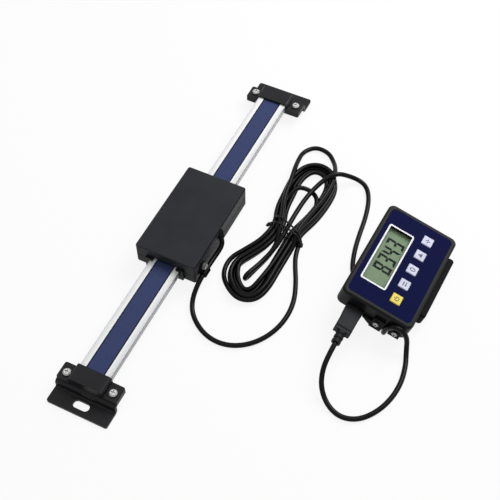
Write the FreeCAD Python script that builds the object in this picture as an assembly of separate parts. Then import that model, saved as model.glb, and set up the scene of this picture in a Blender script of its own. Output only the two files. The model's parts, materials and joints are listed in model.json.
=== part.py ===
import FreeCAD, Part
import math
import os

# Digital linear scale with a remote display. Sizes are millimetres, angles degrees.
# X runs across the beam, Y along it, and Z up from the plane that the brackets and the display stand on.
# The origin is midway between the two end brackets on that plane.

Vector = FreeCAD.Vector

# Aluminium beam, its scale strip and the film over it
BEAM_LENGTH = 284.0
BEAM_WIDTH = 22.4
BEAM_THICKNESS = 6.0
BEAM_EDGE_RADIUS = 0.4
GROOVE_DEPTH = 1.5
GROOVE_MOUTH = 2.6
GROOVE_FLOOR = 1.4
STRIP_WIDTH = 13.7
STRIP_THICKNESS = 0.9
STRIP_CLEARANCE = 0.05
FILM_THICKNESS = 0.2
FILM_SUNK = 0.3
RECESS_BEVEL = 0.3

# Stepped bracket plates and the hat-shaped caps that clamp the beam on them
PLATE_WIDTH = 44.3
PLATE_THICKNESS = 2.0
PLATE_STEP = 6.4
PLATE_BEND_RADIUS = 1.0
PLATE_CORNER_RADIUS = 1.5
FLANGE_LENGTH = 11.85
SLOT_LENGTH = 11.6
SLOT_WIDTH = 5.6
SLOT_FROM_EDGE = 6.5
CAP_LENGTH = 12.3
CAP_WALL = 1.45
CAP_END_WALL = 1.2
CAP_EAR_THICKNESS = 2.0
CAP_CLEARANCE = 0.05
CAP_ROUNDING = 2.0
CAP_INNER_ROUNDING = 0.6
CAP_SCREW_SPACING = 34.0
CAP_SCREW_FROM_END = 5.4
CAP_SCREW_LENGTH = 4.6

# Pan-head screws: the larger ones are on the brackets and the clip, the smaller ones on the housings
SCREW_HEAD_WIDTH = 5.5
SCREW_HEAD_HEIGHT = 2.0
SCREW_SHANK = 3.0
SMALL_HEAD_WIDTH = 4.0
SMALL_HEAD_HEIGHT = 1.5
SMALL_SHANK = 2.4
HOLE_CLEARANCE = 0.4
THREAD_CLEARANCE = 0.1
CROSS_WIDTH = 0.7
CROSS_SHARE = 0.55
CROSS_DEPTH = 0.9

# Reader: two shells round the beam, running on two plastic shoes
READER_WIDTH = 46.0
READER_LENGTH = 78.0
READER_HEIGHT = 18.0
READER_SEAM = 8.8
READER_WALL = 1.8
READER_FLOOR = 1.5
READER_CORNER_RADIUS = 1.6
READER_TOP_BEVEL = 0.5
READER_SEAM_BEVEL = 0.5
READER_FOOT_BEVEL = 1.2
SHOE_LIP = 2.2
SHOE_LIP_THICKNESS = 2.0
SHOE_BACK = 3.2
SHOE_PROUD = 2.0
SHOE_CLEARANCE = 0.05
SHOE_SEAT_CLEARANCE = 0.05
SHOE_NOSE = 0.9
SHOE_RIB = 1.0
SENSOR_GAP = 0.25
SENSOR_THICKNESS = 1.2
SENSOR_LENGTH = 60.0
SENSOR_SIDE_GAP = 0.4
SENSOR_POST_RADIUS = 1.8
SENSOR_POST_SPACING = (11.0, 48.0)
CHIP_SIZE = (7.0, 7.0, 1.2)
CONNECTOR_SIZE = (6.0, 9.0, 3.0)
CONNECTOR_Y = -17.0
READER_SCREW_INSET = 4.0
READER_SCREW_DEPTH = 6.6
SCREW_TIP_ROOM = 0.6
BOSS_RADIUS = 2.8
FIXING_HOLE = 2.5
FIXING_DEPTH = 5.0
FIXING_SPACING = (37.0, 40.0)
FIXING_BOSS_RADIUS = 3.0

# Cable, its exit from the reader and the strap clip on the reader's side
CABLE_DIAMETER = 3.5
CABLE_FIT = 0.05
GROMMET_SUNK = 1.6
GROMMET_Y = -0.6
GROMMET_DROP = 4.05
GROMMET_AIM = Vector(0.62, -0.55, -0.56)
GROMMET_LENGTH = 5.2
GROMMET_RADIUS = 3.1
GROMMET_TIP_RADIUS = 2.5
EXIT_STRAIGHT = 2.4
CLIP_STRAP = 1.0
CLIP_WIDTH = 6.0
CLIP_REACH = 6.5
CLIP_FROM_END = 8.6
CLIP_STRAIGHT = 5.8
CLIP_LOOP_Z = 10.5
CLIP_SCREW_LENGTH = 7.0
CLIP_BOSS_LENGTH = 4.0

# Remote display: the case's own axes are U across its face, V along it and N out of it
DISPLAY_X = 142.26
DISPLAY_Y = 23.74
DISPLAY_Z = 9.217
DISPLAY_YAW = -2.5
DISPLAY_TILT = 12.8
CASE_WIDTH = 52.4
CASE_LENGTH = 81.5
CASE_THICKNESS = 16.5
CASE_CORNER_RADIUS = 4.5
CASE_SEAM = 8.8
CASE_WALL = 2.0
CASE_FLOOR = 1.8
CASE_FACE = 1.6
CASE_FACE_BEVEL = 1.3
CASE_BACK_BEVEL = 1.6
OVERLAY_SIDE_RIM = 3.0
OVERLAY_END_RIM = 3.25
OVERLAY_THICKNESS = 0.5
OVERLAY_CORNER_RADIUS = 3.0
OVERLAY_CLEARANCE = 0.1
WINDOW_WIDTH = 16.6
WINDOW_SIDE_MARGIN = 4.55
WINDOW_END_MARGIN = 13.9
PANE_LAP = 1.6
PANE_THICKNESS = 1.0
PANE_GAP = 0.2
LCD_THICKNESS = 2.6
LCD_LAP = 1.2
CARRIER_WALL = 1.5
KEY_NAMES = ("absolute_key", "set_key", "zero_key", "unit_key", "power_key")
KEY_SIZE = 7.3
KEY_FROM_WINDOW = 10.2
KEY_FAR_MARGIN = 10.7
KEY_NEAR_MARGIN = 11.5
KEY_PROUD = 0.7
KEY_TRAVEL = 0.4
KEY_SIDE_CLEARANCE = 0.2
KEY_FLANGE = 0.8
KEY_FLANGE_THICKNESS = 1.2
KEY_FLANGE_CLEARANCE = 0.1
KEY_STEM = 1.0
KEY_CORNER_RADIUS = 0.6
SWITCH_SIZE = 6.0
SWITCH_BODY_HEIGHT = 3.2
SWITCH_PLUNGER_RADIUS = 1.7
SWITCH_CLEARANCE = 0.1
BOARD_HEIGHT = 5.8
BOARD_THICKNESS = 1.2
BOARD_CLEARANCE = 0.5
BOARD_CUT_U = 0.5
BOARD_CUT_LENGTH = 9.2
STANDOFF_RADIUS = 2.0
STANDOFF_SPACING = (36.0, 46.0)
CASE_SCREW_INSET = 5.0
CASE_SCREW_DEPTH = 4.6
CELL_DIAMETER = 20.0
CELL_THICKNESS = 3.2
CELL_U = -2.0
CELL_V = 8.0
DOOR_RIM = 1.4
DOOR_RIM_HEIGHT = 1.6
DOOR_CLEARANCE = 0.15
DOOR_SLOT = (10.0, 1.6, 0.9)
CONTACT_WIDTH = 5.0
CONTACT_LENGTH = 24.0

# Plug and the socket that it sits in
SOCKET_U = -11.85
SOCKET_WIDTH = 7.9
SOCKET_HEIGHT = 3.9
SOCKET_DEPTH = 9.0
SOCKET_WALL = 0.35
SOCKET_TONGUE = (5.2, 0.7)
SOCKET_SUNK = 0.3
SOCKET_BACK = 1.0
PLUG_FIT = 0.2
PLUG_SHELL_WALL = 0.3
PLUG_INSERTION = 6.2
PLUG_STAND_OFF = 0.4
PLUG_WIDTH = 12.6
PLUG_THICKNESS = 7.0
PLUG_LENGTH = 18.2
PLUG_SHOULDER = (2.0, 8.6)
PLUG_WAIST_INSET = 0.5
PLUG_EDGE_RADIUS = 1.0
PLUG_NECK_LENGTH = 2.0
PLUG_NECK_INSET = 0.5
RELIEF_LENGTH = 8.8
RELIEF_RADIUS = 3.3
RELIEF_TIP_RADIUS = 3.1
RELIEF_RIBS = 3
RELIEF_GROOVE_DEPTH = 0.6
RELIEF_STRAIGHT = 8.0

# Cradle under the display: tilted tray, side rail, front stop with two screwed ears, and a foot on the left
TRAY_THICKNESS = 2.4
TRAY_LEFT_U = -18.0
TRAY_NEAR_V = -21.3
TRAY_FAR_V = 31.8
TRAY_CORNER_RADIUS = 3.0
RAIL_CLEARANCE = 0.2
RAIL_WIDTH = 4.9
RAIL_HEIGHT = 7.0
RAIL_END_RADIUS = 2.0
RAIL_TOP_BEVEL = 0.8
STOP_CLEARANCE = 0.1
STOP_THICKNESS = 1.8
STOP_LEFT_U = -5.4
STOP_LEFT_HEIGHT = 4.6
STOP_BEND = (0.2, -0.4)
STOP_FLAT_U = 6.0
STOP_ROUNDING = 6.6
EAR_HEIGHT = 9.9
EAR_EDGE_RADIUS = 1.0
LEFT_EAR_U = 1.8
CABLE_SLOT = (9.8, 14.6)
CABLE_SLOT_BACK_V = -34.0
RIGHT_EAR_U = 22.4
RIGHT_EAR_BEVEL = (3.6, 3.2)
EAR_ROUNDING = 3.85
LEFT_EAR_SCREW = (5.0, 4.2)
RIGHT_EAR_SCREW = (18.5, 5.8)
EAR_SCREW_LENGTH = 6.0
EAR_BOSS_RADIUS = 2.5
EAR_BOSS_LENGTH = 5.0
FOOT_WALL = 2.5
FOOT_NEAR_V = -8.0

# Cable routes, as points that the runs go through, and the folded hank with its tie
EXIT_ROUTE = [(26.9, -7.6, 12.6), (26.5, -12.2, 11.0), (26.0, -18.0, 10.4)]
READER_ROUTE = [(25.5, -43.4, 7.2), (26.3, -50.6, 3.2), (30.2, -58.4, 1.8), (37.6, -65.4, 1.8),
                (46.8, -70.4, 1.8), (57.4, -72.0, 1.8), (68.2, -69.2, 1.8), (78.0, -61.8, 1.8),
                (85.4, -50.4, 1.8), (89.2, -36.4, 1.8), (88.6, -21.0, 1.8), (83.2, -6.2, 1.8),
                (76.8, 6.4, 1.8), (73.2, 15.0, 2.0), (72.0, 22.4, 2.4)]
DISPLAY_ROUTE = [(72.4, 90.4, 6.4), (79.2, 96.8, 3.4), (87.8, 98.4, 1.8), (96.4, 92.4, 1.8),
                 (101.8, 80.8, 1.8), (105.0, 66.4, 1.8), (106.7, 50.6, 1.8), (109.2, 35.2, 1.8),
                 (113.6, 20.6, 1.8), (121.0, 9.6, 1.8), (131.0, 2.6, 1.8), (141.8, -1.6, 1.8),
                 (148.6, -7.8, 1.8), (151.2, -14.8, 2.4), (152.2, -19.8, 5.6), (153.4, -19.8, 11.6),
                 (155.6, -19.9, 16.2), (159.2, -20.0, 18.8), (163.4, -20.2, 18.6), (166.8, -20.4, 15.4),
                 (168.8, -20.9, 10.4), (169.8, -22.6, 5.2), (171.4, -26.6, 2.4), (173.8, -33.6, 1.8),
                 (175.8, -46.4, 1.8), (174.2, -60.6, 1.8), (169.0, -73.4, 1.8), (160.8, -83.0, 1.8),
                 (150.2, -86.4, 1.8), (139.6, -82.4, 2.0), (131.4, -74.4, 5.4), (128.0, -64.8, 11.2)]
HANK_THICKNESS = 7.8
HANK_EDGE_BEVEL = 2.0
HANK_OUTLINE = [(69.2, 22.0), (71.0, 33.0), (76.0, 48.0), (78.8, 68.0), (78.0, 85.0), (70.4, 96.0),
                (58.5, 98.6), (47.2, 93.0), (41.8, 82.0), (41.4, 66.0), (44.0, 50.0), (46.8, 36.0),
                (47.2, 24.0), (41.6, 8.5), (33.0, -4.0), (30.6, -17.0), (35.4, -28.4), (46.0, -33.8),
                (56.0, -38.4), (65.2, -34.2), (70.0, -20.0), (70.2, -2.0), (69.4, 11.0)]
HANK_LOWER_HOLE = [(57.6, 18.0), (54.0, 11.5), (47.5, 1.5), (42.2, -8.5), (43.6, -17.0), (51.3, -24.2),
                   (57.0, -18.0), (59.4, -4.0), (60.0, 11.0)]
HANK_UPPER_HOLE = [(57.6, 41.0), (55.6, 46.0), (52.6, 58.0), (48.4, 70.0), (50.8, 80.2), (57.4, 86.0),
                   (63.6, 84.2), (65.6, 74.0), (63.6, 58.0), (60.4, 44.0)]
HANK_LOOP_ROUTE = [(46.4, 76.0, 6.0), (41.2, 89.0, 4.2), (40.0, 102.6, 1.8), (46.6, 112.8, 1.8),
                   (57.0, 112.4, 1.8), (66.0, 103.6, 2.8), (71.0, 91.0, 5.2)]
TIE_CENTRE = (59.6, 30.4)
TIE_TURN = -19.0
TIE_INNER_LENGTH = 29.4
TIE_THICKNESS = 0.8
TIE_CLEARANCE = 0.1
TIE_WIDTH = 4.0
TIE_CORNER_RADIUS = 3.0

# How far a cutting shape runs past the face that it opens, and the distance that counts as touching
CUT = 1.0
TOUCHING = 1e-6

# Heights and places that follow from the sizes above
BEAM_BOTTOM = PLATE_STEP + PLATE_THICKNESS
BEAM_TOP = BEAM_BOTTOM + BEAM_THICKNESS
BEAM_SIDE = BEAM_WIDTH / 2
RECESS_FLOOR = BEAM_TOP - FILM_SUNK - FILM_THICKNESS - STRIP_THICKNESS
CAP_OUTER_END = BEAM_LENGTH / 2 + CAP_CLEARANCE + CAP_END_WALL
CAP_INNER_END = CAP_OUTER_END - CAP_LENGTH
CAP_EAR_TOP = BEAM_BOTTOM + CAP_EAR_THICKNESS
FLANGE_EDGE = CAP_OUTER_END + PLATE_THICKNESS + FLANGE_LENGTH
SHOE_BOTTOM = BEAM_BOTTOM - SHOE_CLEARANCE - SHOE_LIP_THICKNESS
SHOE_TOP = BEAM_TOP + SHOE_CLEARANCE + SHOE_LIP_THICKNESS
SHOE_OUTSIDE = BEAM_SIDE + SHOE_CLEARANCE + SHOE_BACK
READER_BOTTOM = SHOE_BOTTOM - READER_FLOOR
READER_TOP = READER_BOTTOM + READER_HEIGHT
READER_SEAM_Z = READER_BOTTOM + READER_SEAM
READER_CEILING = READER_TOP - READER_WALL
READER_SIDE = READER_WIDTH / 2
SENSOR_BOTTOM = BEAM_TOP + SENSOR_GAP
SENSOR_TOP = SENSOR_BOTTOM + SENSOR_THICKNESS
CABLE_RADIUS = CABLE_DIAMETER / 2
CLIP_OUTER_RADIUS = CABLE_RADIUS + CABLE_FIT + CLIP_STRAP
CLIP_Y = CLIP_FROM_END - READER_LENGTH / 2
CLIP_LOOP = Vector(READER_SIDE + CLIP_OUTER_RADIUS, CLIP_Y, CLIP_LOOP_Z)
GROMMET_START = Vector(READER_SIDE - GROMMET_SUNK, GROMMET_Y, READER_TOP - GROMMET_DROP)
CLIP_SCREW_Z = CLIP_LOOP_Z + CLIP_REACH
NEAR_V = -CASE_LENGTH / 2
OVERLAY_WIDTH = CASE_WIDTH - 2 * OVERLAY_SIDE_RIM
OVERLAY_LENGTH = CASE_LENGTH - 2 * OVERLAY_END_RIM
WINDOW_LENGTH = OVERLAY_LENGTH - 2 * WINDOW_END_MARGIN
WINDOW_U = WINDOW_SIDE_MARGIN + WINDOW_WIDTH / 2 - OVERLAY_WIDTH / 2
KEY_U = WINDOW_U + WINDOW_WIDTH / 2 + KEY_FROM_WINDOW
FAR_KEY_V = OVERLAY_LENGTH / 2 - KEY_FAR_MARGIN
NEAR_KEY_V = KEY_NEAR_MARGIN - OVERLAY_LENGTH / 2
OVERLAY_SEAT = CASE_THICKNESS - OVERLAY_THICKNESS
FACE_UNDERSIDE = OVERLAY_SEAT - CASE_FACE
PANE_BOTTOM = FACE_UNDERSIDE - PANE_THICKNESS
LCD_TOP = PANE_BOTTOM - PANE_GAP
LCD_BOTTOM = LCD_TOP - LCD_THICKNESS
BOARD_TOP = BOARD_HEIGHT + BOARD_THICKNESS
KEY_FLANGE_TOP = FACE_UNDERSIDE - KEY_FLANGE_CLEARANCE
KEY_BOTTOM = KEY_FLANGE_TOP - KEY_FLANGE_THICKNESS - KEY_STEM
SWITCH_TOP = KEY_BOTTOM - KEY_TRAVEL - SWITCH_CLEARANCE
SOCKET_N = BOARD_HEIGHT - SOCKET_HEIGHT / 2
PLUG_FRONT_V = NEAR_V - PLUG_STAND_OFF
RELIEF_FRONT_V = PLUG_FRONT_V - PLUG_LENGTH - PLUG_NECK_LENGTH
RELIEF_END_V = RELIEF_FRONT_V - RELIEF_LENGTH
RAIL_INSIDE_U = CASE_WIDTH / 2 + RAIL_CLEARANCE
RAIL_OUTSIDE_U = RAIL_INSIDE_U + RAIL_WIDTH
HANK_LOW = TIE_THICKNESS + TIE_CLEARANCE
HANK_HIGH = HANK_LOW + HANK_THICKNESS
TIE_HEIGHT = HANK_HIGH + TIE_CLEARANCE + TIE_THICKNESS
STOP_BACK_V = NEAR_V - STOP_CLEARANCE
STOP_FRONT_V = STOP_BACK_V - STOP_THICKNESS

DISPLAY_BACK = Vector(DISPLAY_X, DISPLAY_Y, DISPLAY_Z)
DISPLAY_TURN = FreeCAD.Rotation(Vector(0, 0, 1), DISPLAY_YAW).multiply(
    FreeCAD.Rotation(Vector(0, 1, 0), DISPLAY_TILT))
DISPLAY_FRAME = FreeCAD.Placement(DISPLAY_BACK, DISPLAY_TURN)


def corner_arc(before, corner, after, radius):
    """Give the start, middle and end of the tangent arc that rounds a corner."""
    back = Vector(before - corner).normalize()
    ahead = Vector(after - corner).normalize()
    half_angle = back.getAngle(ahead) / 2
    reach = radius / math.tan(half_angle)
    inward = Vector(back + ahead).normalize()
    middle = corner + inward * (radius / math.sin(half_angle) - radius)
    return corner + back * reach, middle, corner + ahead * reach


def rounded_edges(points, radii, closed):
    """Make straight runs joined by tangent arcs through a list of points."""
    count = len(points)
    corners = []
    for index, point in enumerate(points):
        inside = closed or 0 < index < count - 1
        if inside and radii[index] > 0:
            following = points[(index + 1) % count]
            corners.append(corner_arc(points[index - 1], point, following, radii[index]))
        else:
            corners.append((point, None, point))
    edges = []
    for index, (start, middle, end) in enumerate(corners):
        if middle is not None:
            edges.append(Part.Arc(start, middle, end).toShape())
        if closed or index < count - 1:
            following = corners[(index + 1) % count][0]
            if end.distanceToPoint(following) > TOUCHING:
                edges.append(Part.LineSegment(end, following).toShape())
    return edges


def profile_face(corners, place):
    """Fill an outline of (a, b, radius) corners, set in space by a function of a and b."""
    points = [place(a, b) for a, b, radius in corners]
    radii = [radius for a, b, radius in corners]
    return Part.Face(Part.Wire(rounded_edges(points, radii, closed=True)))


def prism(corners, low, high):
    """Raise an outline in X and Y from one height to another."""
    face = profile_face(corners, lambda a, b: Vector(a, b, low))
    return face.extrude(Vector(0, 0, high - low))


def bar(corners, low, high):
    """Run an outline in X and Z along Y."""
    face = profile_face(corners, lambda a, b: Vector(a, low, b))
    return face.extrude(Vector(0, high - low, 0))


def sheet(corners, low, high):
    """Run an outline in Y and Z along X."""
    face = profile_face(corners, lambda a, b: Vector(low, a, b))
    return face.extrude(Vector(high - low, 0, 0))


def block(x_range, y_range, z_range):
    """Make a box between two values on each axis."""
    low = Vector(x_range[0], y_range[0], z_range[0])
    high = Vector(x_range[1], y_range[1], z_range[1])
    size = high - low
    return Part.makeBox(size.x, size.y, size.z, low)


def rod(radius, x, y, low, high):
    """Make an upright cylinder."""
    return Part.makeCylinder(radius, high - low, Vector(x, y, low))


def rectangle(x_range, y_range, radius):
    """List the corners of a rectangle with rounded corners."""
    return [(x_range[0], y_range[0], radius), (x_range[1], y_range[0], radius),
            (x_range[1], y_range[1], radius), (x_range[0], y_range[1], radius)]


def centred(width, length, radius, x=0.0, y=0.0):
    """List the corners of a rounded rectangle about its middle."""
    return rectangle((x - width / 2, x + width / 2), (y - length / 2, y + length / 2), radius)


def span(middle, size):
    """Give the two ends of a length about its middle."""
    return middle - size / 2, middle + size / 2


def level_edges(shape, height):
    """Find the edges that lie flat at one height."""
    found = []
    for edge in shape.Edges:
        box = edge.BoundBox
        if abs(box.ZMin - height) < TOUCHING * 10 and abs(box.ZMax - height) < TOUCHING * 10:
            found.append(edge)
    return found


def upright_edges(shape, test):
    """Find the upright edges whose place in X and Y passes a test."""
    found = []
    for edge in shape.Edges:
        box = edge.BoundBox
        if box.ZLength > TOUCHING * 10 and box.XLength + box.YLength < TOUCHING * 10:
            if test(box.Center.x, box.Center.y):
                found.append(edge)
    return found


def four_places(spacing):
    """List the four corners of a hole pattern about zero."""
    return [(x * spacing[0] / 2, y * spacing[1] / 2) for x in (-1, 1) for y in (-1, 1)]


def pan_screw(head_width, head_height, shank_width, shank_length):
    """Make a cross-recessed screw: head above zero, shank below it."""
    head = rod(head_width / 2, 0, 0, 0, head_height)
    head = head.makeChamfer(head_height * 0.45, level_edges(head, head_height))
    shank = rod(shank_width / 2, 0, 0, -shank_length, 0)
    screw = head.fuse(shank).removeSplitter()
    recess = (head_height - CROSS_DEPTH, head_height + CUT)
    long_side = span(0, head_width * CROSS_SHARE)
    short_side = span(0, CROSS_WIDTH)
    cross = block(long_side, short_side, recess).fuse(block(short_side, long_side, recess))
    return screw.cut(cross)


def large_screw(length):
    return pan_screw(SCREW_HEAD_WIDTH, SCREW_HEAD_HEIGHT, SCREW_SHANK, length)


def small_screw(length):
    return pan_screw(SMALL_HEAD_WIDTH, SMALL_HEAD_HEIGHT, SMALL_SHANK, length)


def aimed(shape, position, direction):
    """Turn a shape's Z axis to a direction and set it at a position."""
    turn = FreeCAD.Rotation(Vector(0, 0, 1), direction)
    placed = shape.copy()
    placed.Placement = FreeCAD.Placement(position, turn)
    return placed


def half_turned(shape):
    """Give the same piece for the other end of the beam."""
    turned = shape.copy()
    turned.rotate(Vector(0, 0, 0), Vector(0, 0, 1), 180)
    return turned


def on_display(shape):
    """Carry a shape from the case's own axes to its place."""
    placed = shape.copy()
    placed.Placement = DISPLAY_FRAME.multiply(placed.Placement)
    return placed


def fused(shapes):
    """Join shapes that make up one piece."""
    return shapes[0].multiFuse(shapes[1:]).removeSplitter()


def beam():
    """Extruded bar with a recess for the strip on top and a running groove on each side."""
    middle = (BEAM_BOTTOM + BEAM_TOP) / 2
    recess = STRIP_WIDTH / 2 + STRIP_CLEARANCE
    floor = BEAM_SIDE - GROOVE_DEPTH
    right = [(BEAM_SIDE, BEAM_BOTTOM, BEAM_EDGE_RADIUS), (BEAM_SIDE, middle - GROOVE_MOUTH / 2, 0),
             (floor, middle - GROOVE_FLOOR / 2, 0), (floor, middle + GROOVE_FLOOR / 2, 0),
             (BEAM_SIDE, middle + GROOVE_MOUTH / 2, 0), (BEAM_SIDE, BEAM_TOP, BEAM_EDGE_RADIUS),
             (recess + RECESS_BEVEL, BEAM_TOP, 0), (recess, BEAM_TOP - RECESS_BEVEL, 0),
             (recess, RECESS_FLOOR, 0)]
    left = [(-x, z, radius) for x, z, radius in reversed(right)]
    return bar(right + left, -BEAM_LENGTH / 2, BEAM_LENGTH / 2)


def strip_layer(low, thickness):
    """Make a flat layer in the beam's recess."""
    return block(span(0, STRIP_WIDTH), span(0, BEAM_LENGTH), (low, low + thickness))


def bracket():
    """Bend a plate down from under the beam's far end to a slotted flange."""
    outside = PLATE_BEND_RADIUS + PLATE_THICKNESS
    riser = CAP_OUTER_END + PLATE_THICKNESS
    section = [(CAP_INNER_END, BEAM_BOTTOM, 0), (CAP_INNER_END, PLATE_STEP, 0),
               (CAP_OUTER_END, PLATE_STEP, PLATE_BEND_RADIUS), (CAP_OUTER_END, 0, outside),
               (FLANGE_EDGE, 0, 0), (FLANGE_EDGE, PLATE_THICKNESS, 0),
               (riser, PLATE_THICKNESS, PLATE_BEND_RADIUS), (riser, BEAM_BOTTOM, outside)]
    plate = sheet(section, -PLATE_WIDTH / 2, PLATE_WIDTH / 2)
    ends = (CAP_INNER_END, FLANGE_EDGE)
    corners = upright_edges(plate, lambda x, y: min(abs(y - end) for end in ends) < TOUCHING * 10)
    plate = plate.makeFillet(PLATE_CORNER_RADIUS, corners)
    slot = prism(centred(SLOT_LENGTH, SLOT_WIDTH, SLOT_WIDTH / 2 - 0.01, y=FLANGE_EDGE - SLOT_FROM_EDGE),
                 -CUT, PLATE_THICKNESS + CUT)
    plate = plate.cut(slot)
    thread = (SCREW_SHANK + THREAD_CLEARANCE) / 2
    return plate.cut([rod(thread, x, y, PLATE_STEP - CUT, BEAM_BOTTOM + CUT) for x, y in cap_screw_places()])


def cap_screw_places():
    """List the two screws of the far cap."""
    return [(x * CAP_SCREW_SPACING / 2, CAP_OUTER_END - CAP_SCREW_FROM_END) for x in (-1, 1)]


def cap():
    """Clamp the beam's far end: a closed saddle with an ear on each side."""
    saddle = BEAM_SIDE + CAP_CLEARANCE + CAP_WALL
    top = BEAM_TOP + CAP_CLEARANCE + CAP_WALL
    ear = PLATE_WIDTH / 2
    right = [(ear, BEAM_BOTTOM, 0), (ear, CAP_EAR_TOP, 0), (saddle, CAP_EAR_TOP, CAP_INNER_ROUNDING),
             (saddle, top, CAP_ROUNDING)]
    left = [(-x, z, radius) for x, z, radius in reversed(right)]
    hat = bar(right + left, CAP_INNER_END, CAP_OUTER_END)
    hat = hat.makeFillet(PLATE_CORNER_RADIUS, upright_edges(hat, lambda x, y: abs(x) > ear - CUT))
    cuts = [block(span(0, BEAM_WIDTH + 2 * CAP_CLEARANCE),
                  (CAP_INNER_END - CUT, CAP_OUTER_END - CAP_END_WALL),
                  (BEAM_BOTTOM - CUT, BEAM_TOP + CAP_CLEARANCE))]
    hole = (SCREW_SHANK + HOLE_CLEARANCE) / 2
    for x, y in cap_screw_places():
        cuts.append(rod(hole, x, y, BEAM_BOTTOM - CUT, CAP_EAR_TOP + CUT))
    return hat.cut(cuts)


def cap_screws():
    """Make the four screws through the ears of both caps."""
    up = Vector(0, 0, 1)
    far = [aimed(large_screw(CAP_SCREW_LENGTH), Vector(x, y, CAP_EAR_TOP), up) for x, y in cap_screw_places()]
    return Part.makeCompound(far + [half_turned(screw) for screw in far])


def shoe():
    """Make the right-hand shoe: a channel that wraps the beam's edge, with a nose in its groove."""
    inside = BEAM_SIDE - SHOE_LIP
    gap = BEAM_SIDE + SHOE_CLEARANCE
    middle = (BEAM_BOTTOM + BEAM_TOP) / 2
    nose = BEAM_SIDE - SHOE_NOSE
    low = BEAM_BOTTOM - SHOE_CLEARANCE
    high = BEAM_TOP + SHOE_CLEARANCE
    nose_half = GROOVE_FLOOR / 2 - SHOE_CLEARANCE
    section = [(inside, SHOE_BOTTOM, 0), (SHOE_OUTSIDE, SHOE_BOTTOM, 0), (SHOE_OUTSIDE, SHOE_TOP, 0),
               (inside, SHOE_TOP, 0), (inside, high, 0), (gap, high, 0), (gap, middle + nose_half, 0),
               (nose, middle + nose_half, 0), (nose, middle - nose_half, 0), (gap, middle - nose_half, 0),
               (gap, low, 0), (inside, low, 0)]
    reach = READER_LENGTH / 2 + SHOE_PROUD
    return bar(section, -reach, reach)


def reader_outline(inset):
    """Outline the reader from above, drawn in by a wall or a clearance."""
    radius = max(READER_CORNER_RADIUS - inset, 0)
    return centred(READER_WIDTH - 2 * inset, READER_LENGTH - 2 * inset, radius)


def reader_screw_places():
    """List the four screws that hold the reader's shells together."""
    return four_places((READER_WIDTH - 2 * READER_SCREW_INSET, READER_LENGTH - 2 * READER_SCREW_INSET))


def shoe_tunnel():
    """Make the opening that the beam and its shoes fill through the reader's ends."""
    half = SHOE_OUTSIDE + SHOE_SEAT_CLEARANCE
    heights = (SHOE_BOTTOM, SHOE_TOP + SHOE_SEAT_CLEARANCE)
    return block((-half, half), span(0, READER_LENGTH + 2 * CUT), heights)


def reader_cover():
    """Make the upper shell with posts for the sensor board, screw bosses and bars over the shoes."""
    shell = prism(reader_outline(0), READER_SEAM_Z, READER_TOP)
    shell = shell.makeChamfer(READER_TOP_BEVEL, level_edges(shell, READER_TOP))
    shell = shell.cut(prism(reader_outline(READER_WALL), READER_SEAM_Z - CUT, READER_CEILING))
    inner = READER_LENGTH / 2 - READER_WALL
    added = [shell]
    for x, y in four_places(SENSOR_POST_SPACING):
        added.append(rod(SENSOR_POST_RADIUS, x, y, SENSOR_TOP, READER_CEILING))
    for x, y in reader_screw_places():
        added.append(rod(BOSS_RADIUS, x, y, READER_SEAM_Z, READER_CEILING))
    for side in (-1, 1):
        edges = sorted((side * (SHOE_OUTSIDE - SHOE_BACK), side * SHOE_OUTSIDE))
        added.append(block(edges, (-inner, inner), (SHOE_TOP + SHOE_SEAT_CLEARANCE, READER_CEILING)))
    boss_start = Vector(READER_SIDE - READER_WALL - CLIP_BOSS_LENGTH, CLIP_Y, CLIP_SCREW_Z)
    added.append(Part.makeCylinder(BOSS_RADIUS, CLIP_BOSS_LENGTH, boss_start, Vector(1, 0, 0)))
    shell = fused(added).cut(shoe_tunnel())
    pilot = (SMALL_SHANK + THREAD_CLEARANCE) / 2
    for x, y in reader_screw_places():
        shell = shell.cut(rod(pilot, x, y, READER_SEAM_Z - CUT, READER_SEAM_Z + READER_SCREW_DEPTH))
    clip_hole = Part.makeCylinder((SCREW_SHANK + THREAD_CLEARANCE) / 2,
                                  CLIP_BOSS_LENGTH + READER_WALL + 2 * CUT,
                                  boss_start - Vector(CUT, 0, 0), Vector(1, 0, 0))
    return shell.cut(clip_hole).cut(grommet())


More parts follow.
